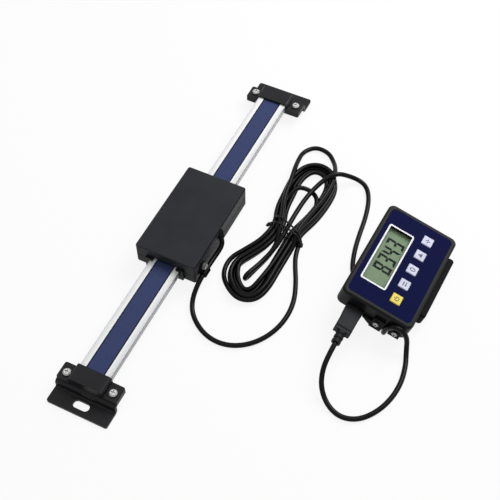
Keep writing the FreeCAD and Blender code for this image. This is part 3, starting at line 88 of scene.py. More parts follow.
# The cable folds flat on itself in the near eye and comes back over the tied turns
NEAR_BIGHT = [(56.6, 23.6, 9.2), (58.2, 16.0, 5.8), (57.2, 8.4, 2.8), (55.6, 1.4, 1.9),
              (53.8, -5.4, 1.8), (52.2, -11.6, 1.8), (51.1, -16.6, 1.8), (50.6, -19.2, 2.9),
              (50.9, -19.6, 5.9), (51.7, -17.2, 7.4), (53.3, -11.6, 6.8), (54.8, -6.4, 6.2),
              (56.2, -1.0, 6.0), (58.0, 5.6, 6.6), (59.8, 14.0, 8.4), (60.6, 22.6, 10.0)]
TAIL = [(60.4, 31.0, 10.2), (60.2, 44.7, 9.6), (61.2, 61.0, 9.8), (65.4, 77.4, 10.8), (70.2, 84.4, 12.4),
        (74.4, 88.8, 12.0)]
DISPLAY_CABLE = [(80.2, 93.6, 7.4), (87.0, 97.0, 2.8), (93.0, 95.4, 1.8), (97.6, 90.2, 1.8),
                 (101.8, 80.8, 1.8), (105.0, 66.4, 1.8), (106.7, 50.6, 1.8), (109.2, 35.2, 1.8),
                 (113.6, 20.6, 1.8), (121.0, 9.6, 1.8), (131.0, 2.6, 1.8), (141.8, -1.6, 1.8),
                 (148.6, -7.8, 1.8), (151.2, -14.8, 2.4), (152.2, -19.8, 5.6), (153.4, -19.8, 11.6),
                 (155.6, -19.9, 16.2), (159.2, -20.0, 18.8), (163.4, -20.2, 18.6), (166.8, -20.4, 15.4),
                 (168.8, -20.9, 10.4), (169.8, -22.6, 5.2), (171.4, -26.6, 2.4), (173.8, -33.6, 1.8),
                 (175.8, -46.4, 1.8), (174.2, -60.6, 1.8), (169.0, -73.4, 1.8), (160.8, -83.0, 1.8),
                 (150.2, -86.4, 1.8), (139.6, -82.4, 2.0), (131.4, -74.4, 5.4), (128.0, -64.8, 11.2)]
KEYS = ("absolute_key", "set_key", "zero_key", "unit_key", "power_key")
UP = Vector((0.0, 0.0, 1.0))
RIGHT = Vector((1.0, 0.0, 0.0))

# Sockets of a colour mix, by their places
MIX_SHARE, MIX_FIRST, MIX_SECOND, MIX_RESULT = 0, 6, 7, 2
BEVEL_SAMPLES = 4
# Fineness of a round section, and steps between two points of a curve
SECTION_STEPS = 5
CURVE_STEPS = 8
# Corners of a print closer than this are one
PRINT_MERGE = 0.005 * MM


def colour(label, note, red, green, blue):
    """Make a colour setting from screen values of 0 to 255."""
    return FloatVectorProperty(name=label, description=note, size=3, min=0.0, max=1.0,
                               subtype="COLOR_GAMMA", default=(red / 255, green / 255, blue / 255))


def distance(label, note, millimetres):
    """Make a length setting from millimetres."""
    return FloatProperty(name=label, description=note, default=millimetres * MM, min=0.0, precision=5,
                         subtype="DISTANCE", unit="LENGTH")


def share(label, note, value):
    """Make a setting between none and all."""
    return FloatProperty(name=label, description=note, default=value, min=0.0, max=1.0, subtype="FACTOR")


def strength(label, note, watts):
    """Make a lamp strength setting."""
    return FloatProperty(name=label, description=note, default=watts, min=0.0, subtype="POWER",
                         unit="POWER")


class FinishSettings(bpy.types.PropertyGroup):
    """Colours of the scale's finishes."""
    rail: colour("Rail", "Bare rails of the beam", 240, 241, 243)
    film: colour("Film", "Film over the scale strip", 57, 67, 106)
    bracket: colour("Bracket", "Coating of brackets and caps", 28, 28, 31)
    reader: colour("Reader", "Moulding of the reader", 42, 43, 47)
    case: colour("Case", "Moulding of the display case", 22, 23, 24)
    stand: colour("Stand", "Moulding of the display's stand", 13, 13, 14)
    plug: colour("Plug", "Moulding of the plug", 34, 35, 38)
    cable: colour("Cable", "Cable jacket", 3, 3, 4)
    face: colour("Face", "Printed face of the display", 13, 18, 62)
    border: colour("Border", "Printed frame round the window", 240, 241, 246)
    panel: colour("Panel", "Ground of the display panel", 136, 160, 126)
    figure: colour("Figure", "Figures on the display panel", 10, 18, 20)
    key: colour("Key", "The four pale keys", 216, 219, 240)
    power_key: colour("Power key", "The near key", 240, 222, 96)
    sign: colour("Sign", "Signs printed on the keys", 34, 34, 52)
    screw: colour("Screw", "Plated screws", 244, 243, 240)


class CableSettings(bpy.types.PropertyGroup):
    """Sizes of the cable and its hank."""
    diameter: distance("Diameter", "Outer diameter of the cable", 3.5)
    spacing: distance("Strand spacing", "Middle to middle of strands that lie side by side", 3.4)
    lower_height: distance("Lower layer", "Height of the middle of the lower strands", 1.9)
    waist_lift: distance("Waist lift", "How far the tie lifts the strands off the table", 1.5)
    looseness: distance("Looseness", "How far a strand strays from its place", 0.1)
    wire: distance("Tie wire", "Diameter of the tie's wire", 1.3)


class DisplaySettings(bpy.types.PropertyGroup):
    """What the display shows and where it is printed."""
    reading: StringProperty(name="Reading", description="Figures on the display panel", default="8343")
    figure_height: distance("Figure height", "Height of a figure", 13.0)
    figure_width: distance("Figure width", "Width of a figure", 5.6)
    figure_pitch: distance("Figure pitch", "From one figure to the next", 7.15)
    figure_line: distance("Figure line", "Width of a segment", 1.75)
    figure_start: distance("Figure start", "From the window's near edge to the first figure", 12.6)
    figure_base: distance("Figure base", "From the window's right edge to the foot of the figures", 1.1)
    border_width: distance("Border width", "Width of the printed frame round the window", 1.15)


class StageSettings(bpy.types.PropertyGroup):
    """Camera and light."""
    lens: FloatProperty(name="Lens", description="Focal length", default=70.775, min=1.0, unit="CAMERA")
    key_lamp: strength("Key lamp", "Soft lamp behind", 7.4)
    top_lamp: strength("Top lamp", "Soft lamp overhead", 3.0)
    sky: share("Sky", "Grey level of the surrounding light", 0.3)
    backdrop: share("Backdrop", "How far the floor shows plain white instead of its shading", 0.88)


class ScaleSettings(bpy.types.PropertyGroup):
    """All settings of the dressing."""
    finish: PointerProperty(type=FinishSettings)
    cable: PointerProperty(type=CableSettings)
    display: PointerProperty(type=DisplaySettings)
    stage: PointerProperty(type=StageSettings)


def linear(screen, shade):
    """Turn a colour setting into the shader's linear values, darker or lighter by a share."""
    value = Color(screen).from_srgb_to_scene_linear()
    return (min(value.r * shade, 1.0), min(value.g * shade, 1.0), min(value.b * shade, 1.0), 1.0)


class Finish:
    """A material whose nodes are wired by short calls."""

    def __init__(self, name):
        self.material = bpy.data.materials.new(name)
        self.material.use_nodes = True
        self.tree = self.material.node_tree
        self.tree.nodes.clear()
        self.coordinates = self.add("ShaderNodeTexCoord")
        self.place = self.coordinates.outputs["Object"]
        self.shader = self.add("ShaderNodeBsdfPrincipled")
        self.output = self.add("ShaderNodeOutputMaterial")
        self.join(self.shader.outputs["BSDF"], self.output.inputs["Surface"])

    def add(self, kind, **properties):
        """Add a node with its plain properties set."""
        node = self.tree.nodes.new(kind)
        for key, value in properties.items():
            setattr(node, key, value)
        return node

    def join(self, source, target):
        """Link two sockets."""
        self.tree.links.new(source, target)

    def fix(self, **values):
        """Set plain values on the shader, with low lines for the spaces in a socket's name."""
        for key, value in values.items():
            self.shader.inputs[key.replace("_", " ")].default_value = value

    def feed(self, name, source):
        """Link a value to one of the shader's sockets."""
        self.join(source, self.shader.inputs[name])

    def noise(self, scale, detail=3.0, stretch=(1.0, 1.0, 1.0)):
        """Give a noise value whose grain may be stretched along the axes."""
        mapping = self.add("ShaderNodeMapping")
        mapping.inputs["Scale"].default_value = stretch
        texture = self.add("ShaderNodeTexNoise")
        texture.inputs["Scale"].default_value = scale
        texture.inputs["Detail"].default_value = detail
        self.join(self.place, mapping.inputs["Vector"])
        self.join(mapping.outputs["Vector"], texture.inputs["Vector"])
        return texture.outputs["Fac"]

    def ranged(self, value, low, high, start=0.3, end=0.7):
        """Spread the part of a value from start to end over another range."""
        node = self.add("ShaderNodeMapRange")
        limits = {"From Min": start, "From Max": end, "To Min": low, "To Max": high}
        for key, limit in limits.items():
            node.inputs[key].default_value = limit
        self.join(value, node.inputs["Value"])
        return node.outputs["Result"]

    def mixed(self, value, first, second):
        """Mix two colours by a value."""
        node = self.add("ShaderNodeMix", data_type="RGBA")
        self.join(value, node.inputs[MIX_SHARE])
        node.inputs[MIX_FIRST].default_value = first
        node.inputs[MIX_SECOND].default_value = second
        return node.outputs[MIX_RESULT]

    def mottled(self, value, screen, dark, light):
        """Let a noise value vary a colour between a darker and a lighter share of it."""
        return self.mixed(self.ranged(value, 0.0, 1.0), linear(screen, dark), linear(screen, light))

    def over(self, value, ground, screen, shade):
        """Lay a share of a colour over a worked-out colour by a value."""
        node = self.add("ShaderNodeMix", data_type="RGBA")
        self.join(value, node.inputs[MIX_SHARE])
        self.join(ground, node.inputs[MIX_FIRST])
        node.inputs[MIX_SECOND].default_value = linear(screen, shade)
        return node.outputs[MIX_RESULT]

    def axis(self, name):
        """Place along one axis."""
        parts = self.add("ShaderNodeSeparateXYZ")
        self.join(self.place, parts.inputs["Vector"])
        return parts.outputs[name]

    def across(self):
        """Distance from the middle of the beam, to either side."""
        size = self.add("ShaderNodeMath", operation="ABSOLUTE")
        self.join(self.axis("X"), size.inputs[0])
        return size.outputs["Value"]

    def facing(self, aim):
        """How squarely the surface faces a direction: one when it does, none when it stands along it."""
        product = self.add("ShaderNodeVectorMath", operation="DOT_PRODUCT")
        self.join(self.coordinates.outputs["Normal"], product.inputs[0])
        product.inputs[1].default_value = aim
        return product.outputs["Value"]

    def both(self, first, second):
        """One value times another."""
        product = self.add("ShaderNodeMath", operation="MULTIPLY")
        self.join(first, product.inputs[0])
        self.join(second, product.inputs[1])
        return product.outputs["Value"]

    def relief(self, value, depth, rounding=0.0):
        """Raise the surface by a value, and round sharp edges in the shading."""
        bump = self.add("ShaderNodeBump")
        bump.inputs["Distance"].default_value = depth
        self.join(value, bump.inputs["Height"])
        if rounding:
            bevel = self.add("ShaderNodeBevel", samples=BEVEL_SAMPLES)
            bevel.inputs["Radius"].default_value = rounding
            self.join(bevel.outputs["Normal"], bump.inputs["Normal"])
        self.feed("Normal", bump.outputs["Normal"])
        return self


def moulded(name, screen, roughness, grain=2600.0, specular=0.1, rounding=0.3 * MM, light_paint=None):
    """Moulded plastic: fine spark-eroded grain, a slow change of tone, and painted light and shade where it
    has them.
    """
    finish = Finish(name)
    cloud = finish.noise(scale=45.0, detail=2.0)
    specks = finish.noise(scale=grain)
    tone = finish.mottled(cloud, screen, dark=0.86, light=1.14)
    finish.feed("Base Color", light_paint(finish, tone) if light_paint else tone)
    finish.feed("Roughness", finish.ranged(specks, roughness - 0.05, roughness + 0.06))
    finish.fix(Specular_IOR_Level=specular)
    return finish.relief(specks, depth=0.02 * MM, rounding=rounding).material


class ReaderWallLight:
    """Painted light and shade on the reader's right wall: painted shade below the seam, a painted highlight
    above it and painted shade at the top edge.
    """

    # The painted light and shade of the wall and of its top edge grow from none to full as the surface
    # turns right
    SQUARE = (0.8, 0.95)
    TURNED = (0.3, 0.6)
    # Heights over the seam and the top between which it changes
    SEAM_FADE = (0.6 * MM, 1.6 * MM)
    TOP_FADE = (-1.5 * MM, -0.9 * MM)
    # Shares of the colour for the painted shade on the lower wall, the painted highlight above the seam and
    # the painted shade at the top edge
    PAINTED_SHADE_BELOW = 0.62
    PAINTED_LIGHT_ABOVE = 1.9
    PAINTED_SHADE_EDGE = 0.1

    def __init__(self, screen, seam, top):
        self.screen, self.seam, self.top = screen, seam, top

    def __call__(self, finish, tone):
        wall = finish.ranged(finish.facing(RIGHT), 0.0, 1.0, *self.SQUARE)
        above = finish.ranged(finish.axis("Z"), 0.0, 1.0, *(self.seam + step for step in self.SEAM_FADE))
        tone = finish.over(wall, tone, self.screen, self.PAINTED_SHADE_BELOW)
        tone = finish.over(finish.both(wall, above), tone, self.screen, self.PAINTED_LIGHT_ABOVE)
        edge = finish.ranged(finish.axis("Z"), 0.0, 1.0, *(self.top + step for step in self.TOP_FADE))
        turned = finish.ranged(finish.facing(RIGHT), 0.0, 1.0, *self.TURNED)
        return finish.over(finish.both(turned, edge), tone, self.screen, self.PAINTED_SHADE_EDGE)


def coated_steel(name, screen):
    """Satin black coating on sheet steel: an orange-peel skin with a slow change of tone."""
    finish = Finish(name)
    cloud = finish.noise(scale=60.0)
    peel = finish.noise(scale=1500.0, detail=2.0)
    finish.feed("Base Color", finish.mottled(cloud, screen, dark=0.8, light=1.2))
    finish.feed("Roughness", finish.ranged(cloud, 0.32, 0.42))
    finish.fix(Specular_IOR_Level=0.15)
    return finish.relief(peel, depth=0.03 * MM, rounding=0.35 * MM).material


def brushed_rail(name, screen, top):
    """Anodised aluminium: brush lines along the beam, a painted highlight along the inner edge, and painted
    shade on the outer parts and on the side walls.
    """
    # Bands across the beam for the painted highlight by the film and the painted shade towards the outside,
    # and heights below the top for the painted shade on the side walls
    inner_highlight = (7.6 * MM, 9.0 * MM)
    outer_shade = (9.6 * MM, 10.8 * MM)
    wall_shade = (top - 0.3 * MM, top - 0.1 * MM)
    finish = Finish(name)
    lines = finish.noise(scale=1.0, detail=4.0, stretch=(5200.0, 24.0, 5200.0))
    cloud = finish.noise(scale=30.0, detail=2.0)
    tone = finish.mottled(lines, screen, dark=0.92, light=1.04)
    tone = finish.over(finish.ranged(finish.across(), 1.0, 0.0, *inner_highlight), tone, screen, 1.14)
    tone = finish.over(finish.ranged(finish.across(), 0.0, 1.0, *outer_shade), tone, screen, 0.86)
    tone = finish.over(finish.ranged(finish.axis("Z"), 1.0, 0.0, *wall_shade), tone, screen, 0.5)
    finish.feed("Base Color", tone)
    finish.feed("Roughness", finish.ranged(cloud, 0.36, 0.46))
    finish.fix(Metallic=0.05, Specular_IOR_Level=0.3)
    return finish.relief(lines, depth=0.003 * MM).material


def plated(name, screen, roughness=0.22, aim=None, shaded_rim=(0.5, 0.85)):
    """Bright plated steel with fine turning marks. A screw's head gets painted shade where it turns from
    its aim, which leaves a painted glint in its middle.
    """
    finish = Finish(name)
    marks = finish.noise(scale=2400.0, detail=2.0)
    tone = finish.mottled(marks, screen, dark=0.8, light=1.0)
    if aim:
        tone = finish.over(finish.ranged(finish.facing(aim), 1.0, 0.0, *shaded_rim), tone, screen, 0.08)
    finish.feed("Base Color", tone)
    finish.feed("Roughness", finish.ranged(marks, roughness - 0.06, roughness + 0.08))
    finish.fix(Metallic=0.15)
    return finish.relief(marks, depth=0.008 * MM, rounding=0.2 * MM).material


def printed(name, screen, roughness=(0.34, 0.43), specular=0.35, edge=None):
    """Printed film or ink: a slight mottle under a satin skin, and painted shade along the long edges where
    it has them, for the shadow of the recess walls.
    """
    finish = Finish(name)
    mottle = finish.noise(scale=420.0)
    skin = finish.noise(scale=3200.0, detail=2.0)
    tone = finish.mottled(mottle, screen, dark=0.93, light=1.06)
    # Painted shade towards the long edges
    if edge:
        tone = finish.over(finish.ranged(finish.across(), 0.0, 1.0, *edge), tone, screen, 0.12)
    finish.feed("Base Color", tone)
    finish.feed("Roughness", finish.ranged(skin, *roughness))
    finish.fix(Specular_IOR_Level=specular)
    return finish.relief(skin, depth=0.004 * MM).material


def cable_jacket(name, screen):
    """Soft cable jacket: a satin black skin with a slow change of tone."""
    finish = Finish(name)
    cloud = finish.noise(scale=120.0)
    skin = finish.noise(scale=3800.0, detail=2.0)
    finish.feed("Base Color", finish.mottled(cloud, screen, dark=0.8, light=1.25))
    finish.feed("Roughness", finish.ranged(cloud, 0.18, 0.26))
    finish.fix(Specular_IOR_Level=0.12)
    return finish.relief(skin, depth=0.01 * MM).material


def clear_window(name):
    """Clear pane: light passes, and the skin throws a faint reflection."""
    finish = Finish(name)
    smears = finish.noise(scale=90.0)
    dark, light = (0.02, 0.024, 0.024, 1.0), (0.03, 0.034, 0.034, 1.0)
    finish.feed("Base Color", finish.mixed(smears, dark, light))
    finish.fix(Alpha=0.05, IOR=1.45, Specular_IOR_Level=0.08)
    finish.feed("Roughness", finish.ranged(smears, 0.26, 0.36))
    return finish.material


def circuit_board(name, red, green, blue):
    """Circuit board: green resist over a maze of copper tracks, which show as paler lines."""
    paler = 1.7
    finish = Finish(name)
    maze = finish.add("ShaderNodeTexBrick", offset=0.37)
    maze.inputs["Scale"].default_value = 260.0
    maze.inputs["Mortar Size"].default_value = 0.06
    finish.join(finish.place, maze.inputs["Vector"])
    tracks = maze.outputs["Fac"]
    ground, track = (red, green, blue, 1.0), (paler * red, paler * green, paler * blue, 1.0)
    finish.feed("Base Color", finish.mixed(tracks, ground, track))
    finish.feed("Roughness", finish.ranged(tracks, 0.32, 0.45, start=0.0, end=1.0))
    return finish.relief(tracks, depth=0.03 * MM).material


def dress(material, *names):
    """Give whole nodes one finish."""
    for name in names:
        slots = NODES[name].data.materials
        slots.clear()
        slots.append(material)


def settings():
    """The dressing's settings in the open scene."""
    return bpy.context.scene.linear_scale


def add_piece(name, data, material, body="scale"):
    """Link a new piece, give it its finish and let it ride on a body."""
    piece = bpy.data.objects.new(name, data)
    piece.data.materials.append(material)
    bpy.context.scene.collection.objects.link(piece)
    if body:
        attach(piece, body)
    return piece


def add_spline(data, route, closed=False, resolution=CURVE_STEPS):
    """Add a smooth spline through a route of points in metres to a curve."""
    spline = data.splines.new("NURBS")
    spline.points.add(len(route) - 1)
    for point, place in zip(spline.points, route):
        point.co = (*place, 1.0)
    spline.order_u = 3
    spline.use_endpoint_u = not closed
    spline.use_cyclic_u = closed
    spline.resolution_u = resolution


def nurbs_curve(name, route, thickness=0.0, closed=False):
    """Make a round curve along a route of points in metres."""
    data = bpy.data.curves.new(name, "CURVE")
    data.dimensions = "3D"
    data.bevel_depth = thickness / 2
    data.bevel_resolution = SECTION_STEPS
    data.use_fill_caps = True
    add_spline(data, route, closed)
    return data


def metres(points):
    """Turn points in millimetres into metres."""
    return [Vector(point) * MM for point in points]


def curve_mesh(data):
    """Make a mesh from a curve."""
    holder = bpy.data.objects.new(data.name, data)
    mesh = bpy.data.meshes.new_from_object(holder)
    bpy.data.objects.remove(holder)
    return mesh


def smooth_line(name, route):
    """Points along the smooth curve of a route."""
    return [vertex.co.copy() for vertex in curve_mesh(nurbs_curve(name + "_line", route)).vertices]


class DisplayFace:
    """The display's own axes: U across its face, V along it, N out of it, from the middle of the face."""

    def __init__(self):
        joint = next(joint for joint in frame["joints"] if joint["child"] == KEYS[0])
        self.n = -Vector(joint["axis"]).normalized()
        self.v = Vector((-self.n.y, self.n.x, 0.0)).normalized()
        self.u = self.v.cross(self.n)
        self.origin = Vector()
        low, high = self.box("overlay")
        self.origin = self.point((low.x + high.x) / 2, (low.y + high.y) / 2, high.z)

    def point(self, u, v, n):
        """Place given in the face's axes."""
        return self.origin + self.u * u + self.v * v + self.n * n

    def box(self, name):
        """A node's lowest and highest corners in the face's axes."""
        places = [vertex.co - self.origin for vertex in NODES[name].data.vertices]
        rows = [(place.dot(self.u), place.dot(self.v), place.dot(self.n)) for place in places]
        low = Vector(min(row[axis] for row in rows) for axis in range(3))
        high = Vector(max(row[axis] for row in rows) for axis in range(3))
        return low, high


def block(left, low, right, high):
    """A rectangle as one polygon."""
    return [Vector((left, low)), Vector((right, low)), Vector((right, high)), Vector((left, high))]


def arc_band(radius, width, start, end, steps=24, tall=1.0):
    """A curved stroke as a row of four-sided polygons. Angles are degrees, and tall stretches it up."""
    rows = []
    for step in range(steps + 1):
        angle = math.radians(start + (end - start) * step / steps)
        spoke = Vector((math.cos(angle), math.sin(angle)))
        rows.append([Vector((spoke.x * reach, spoke.y * (reach + radius * (tall - 1.0))))
                     for reach in (radius - width / 2, radius + width / 2)])
    return [[first[0], first[1], second[1], second[0]] for first, second in zip(rows, rows[1:])]


def rounded_outline(width, height, radius, steps=5):
    """Outline of a rectangle with round corners, from the right side on."""
    points = []
    for corner, (side, end) in enumerate(((1, -1), (1, 1), (-1, 1), (-1, -1))):
        for step in range(steps + 1):
            angle = math.radians(90.0 * (corner - 1) + 90.0 * step / steps)
            centre = Vector((side * (width / 2 - radius), end * (height / 2 - radius)))
            points.append(centre + Vector((math.cos(angle), math.sin(angle))) * radius)
    return points


def print_mesh(name, polygons, place, thickness):
    """Make a thin raised print from flat polygons. place turns its coordinates into the part's frame."""
    mesh = bmesh.new()
    for polygon in polygons:
        mesh.faces.new([mesh.verts.new(place(point.x, point.y, 0.0)) for point in polygon])
    bmesh.ops.remove_doubles(mesh, verts=mesh.verts[:], dist=PRINT_MERGE)
    raised = bmesh.ops.extrude_face_region(mesh, geom=mesh.faces[:])
    lift = place(0.0, 0.0, thickness) - place(0.0, 0.0, 0.0)
    moved = [item for item in raised["geom"] if isinstance(item, bmesh.types.BMVert)]
    bmesh.ops.translate(mesh, vec=lift, verts=moved)
    bmesh.ops.recalc_face_normals(mesh, faces=mesh.faces[:])
    data = bpy.data.meshes.new(name)
    mesh.to_mesh(data)
    mesh.free()
    return data


class SCALE_OT_finish_beam(bpy.types.Operator):
    """Finish the beam, its strip and film, the brackets, the caps and their screws"""
    bl_idname = "linear_scale.finish_beam"
    bl_label = "Finish beam and brackets"

    def execute(self, context):
        colours = settings().finish
        top = max(vertex.co.z for vertex in NODES["beam"].data.vertices)
        # Painted shade along the film's long edges, where they meet the recess walls
        film_edge_shade = (5.9 * MM, 6.2 * MM)
        film = printed("beam_film", colours.film, roughness=(0.4, 0.5), specular=0.1, edge=film_edge_shade)
        coat = coated_steel("bracket_coat", colours.bracket)
        dress(brushed_rail("brushed_rail", colours.rail, top), "beam", "scale_strip")
        dress(film, "beam_film")
        dress(coat, "far_bracket", "near_bracket", "far_cap", "near_cap")
        # Painted glints on top of the cap screws' heads, with painted shade round them
        dress(plated("cap_screw_plate", colours.screw, aim=UP), "cap_screws")
        dress(plated("screw_plate", colours.screw), "case_screws", "reader_screws")
        return {"FINISHED"}


class SCALE_OT_finish_reader(bpy.types.Operator):
    """Finish the reader's shells, shoes, board and cable exit"""
    bl_idname = "linear_scale.finish_reader"
    bl_label = "Finish reader"

    def execute(self, context):
        colours = settings().finish
        seam, top = (max(vertex.co.z for vertex in NODES[name].data.vertices)
                     for name in ("reader_base", "reader_cover"))
        # The reader's right wall gets painted light and shade over its moulding
        wall = ReaderWallLight(colours.reader, seam, top)
        shell = moulded("reader_moulding", colours.reader, roughness=0.46, light_paint=wall)
        # Painted glint on the clip screw's head, with painted shade round it
        screw = plated("clip_screw_plate", colours.screw, aim=RIGHT, shaded_rim=(0.85, 0.97))
        shoe = moulded("shoe_plastic", colours.case, roughness=0.38, grain=1800.0)
        rubber = moulded("sleeve_rubber", colours.cable, roughness=0.5, grain=1800.0)
        dress(shell, "reader_cover", "reader_base")
        dress(screw, "clip_screw")
        dress(shoe, "right_shoe", "left_shoe")
        dress(rubber, "cable_grommet", "cable_clip")
        dress(circuit_board("reader_board", 0.012, 0.09, 0.035), "sensor_board")
        return {"FINISHED"}


class SCALE_OT_finish_display(bpy.types.Operator):
    """Finish the display's case, face, window, panel, keys, inner parts, stand and plug"""
    bl_idname = "linear_scale.finish_display"
    bl_label = "Finish display"

    KEY_ROUNDING = 0.4 * MM

    def execute(self, context):
        colours = settings().finish
        case = moulded("case_moulding", colours.case, roughness=0.42)
        stand = moulded("stand_moulding", colours.stand, roughness=0.46, specular=0.04)
        face = printed("face_print", colours.face, roughness=(0.46, 0.55), specular=0.02)
        panel = printed("panel_ground", colours.panel, roughness=(0.36, 0.45), specular=0.08)
        pale, yellow = (moulded(name, screen, roughness=0.42, rounding=self.KEY_ROUNDING) for name, screen
                        in (("pale_key", colours.key), ("yellow_key", colours.power_key)))
        metal = plated("cell_metal", colours.screw, roughness=0.3)
        plug = moulded("plug_moulding", colours.plug, roughness=0.44, grain=1900.0)
        dress(case, "display_front", "display_back", "battery_door")
        dress(stand, "display_cradle")
        # Painted glints on the stand's screw heads, with painted shade round them
        dress(plated("stand_screw_plate", colours.screw, aim=-DisplayFace().v), "cradle_screws")
        dress(face, "overlay")
        dress(clear_window("window_clear"), "window_pane")
        dress(panel, "lcd_panel")
        dress(moulded("carrier_plastic", colours.key, roughness=0.5), "lcd_carrier")
        dress(circuit_board("display_board", 0.012, 0.08, 0.03), "display_board")
        dress(moulded("switch_plastic", colours.bracket, roughness=0.5), "key_switches")
        dress(pale, *KEYS[:-1])
        dress(yellow, KEYS[-1])
        dress(metal, "coin_cell", "cell_contact", "usb_socket", "plug_shell")
        dress(plug, "plug_body", "plug_relief")
        return {"FINISHED"}


class SCALE_OT_reader_cable(bpy.types.Operator):
    """Lay the cable from the reader through its clip to the hank"""
    bl_idname = "linear_scale.reader_cable"
    bl_label = "Reader cable"

    BEND_START = Vector((25.8, -30.4, 10.5)) * MM
    BEND_RUN = Vector((16.2, -7.98, 0.0)) * MM

    def execute(self, context):
        diameter = settings().cable.diameter
        route = metres(READER_CABLE)
        path = smooth_line("reader_cable", route)
        mesh = curve_mesh(nurbs_curve("reader_cable", route, diameter))
        mesh.shade_smooth()
        material = cable_jacket("reader_cable_jacket", settings().finish.cable)
        cable = add_piece("reader_cable", mesh, material, body=None)
        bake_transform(cable)
        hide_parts("lead_exit", "reader_lead")
        return {"FINISHED"}


class SCALE_OT_display_cable(bpy.types.Operator):
    """Wind the hank and lay the cable on to the display's plug"""
    bl_idname = "linear_scale.display_cable"
    bl_label = "Hank and display cable"

    TIE_Y = 28.0 * MM
    TIE_REACH = 13.0 * MM
    TURNS = 5
    FOLDS = {2: INNER_FOLD, 3: SHORT_FOLD}
    # The last turn bows out at the near left and sinks to the table: step, how far out and how far down
    LOOSE_TURN = 4
    BOW = {12: (1.4 * MM, 1.4 * MM), 13: (2.4 * MM, 2.6 * MM), 14: (1.6 * MM, 2.0 * MM),
           15: (0.4 * MM, 0.6 * MM)}
    # Degrees: a strand in a valley, and how far one rolls over the strand under it
    VALLEY = 60.0
    ROLL = 120.0
    # How fast a strand's straying changes from turn to turn and from step to step
    STRAY_TURN = 2.3
    STRAY_STEP = 0.8
    RELIEF_STRAIGHT = 8.0 * MM
    RELIEF_SUNK = 1.0 * MM

    def strand_place(self, cable, turn, done):
        """Offset from the middle line and height of a turn's strand when a share of the turn is done.

        The first two turns lie side by side, the fourth in the valley on top of them, and the third and the
        fifth roll over the strand that comes in under them.
        """
        spacing, low = cable.spacing, cable.lower_height
        shift = spacing * done
        if turn < 2:
            return spacing * (1 - turn) - shift, low
        if turn == 3:
            return shift - spacing / 2, low + spacing * math.sin(math.radians(self.VALLEY))
        under, start = {2: (-shift, 180.0), 4: (spacing - shift, self.ROLL)}[turn]
        angle = math.radians(start - self.ROLL * done)
        return under + spacing * math.cos(angle), low + spacing * math.sin(angle)

    def outward(self, points, step):
        """Direction out of the hank, square to its middle line."""
        along = (points[(step + 1) % len(points)] - points[step - 1]).normalized()
        return Vector((along.y, -along.x))

    def hank_points(self, cable):
        """Work out the tied turns, which shift from strand to strand as they go round."""
        middle = metres(HANK_MIDDLE)
        points = []
        for turn in range(self.TURNS):
            for step, point in enumerate(middle):
                if step in self.FOLDS.get(turn, {}):
                    points.append(Vector(self.FOLDS[turn][step]) * MM)
                    continue
                offset, height = self.strand_place(cable, turn, step / len(middle))
                offset += cable.looseness * math.sin(self.STRAY_TURN * turn + self.STRAY_STEP * step)
                if turn == self.LOOSE_TURN and step in self.BOW:
                    out, down = self.BOW[step]
                    offset, height = offset + out, height - down
                place = point + self.outward(middle, step) * offset
                height += cable.waist_lift * math.exp(-((place.y - self.TIE_Y) / self.TIE_REACH) ** 2)
                points.append(Vector((place.x, place.y, height)))
        return points

    def execute(self, context):
        cable = settings().cable
        face = DisplayFace()
        low, high = face.box("plug_relief")
        relief = face.point((low.x + high.x) / 2, low.y, (low.z + high.z) / 2)
        ending = [relief - face.v * self.RELIEF_STRAIGHT, relief + face.v * self.RELIEF_SUNK]
        route = metres(HANK_START) + self.hank_points(cable) + metres(STAND_OUT_TURN + NEAR_BIGHT + TAIL)
        route += metres(DISPLAY_CABLE) + ending
        data = nurbs_curve("display_cable", route, cable.diameter)
        material = cable_jacket("display_cable_jacket", settings().finish.cable)
        piece = add_piece("display_cable", data, material)
        line = smooth_line("display_cable", route)
        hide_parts("cable_hank", "display_lead")
        return {"FINISHED"}


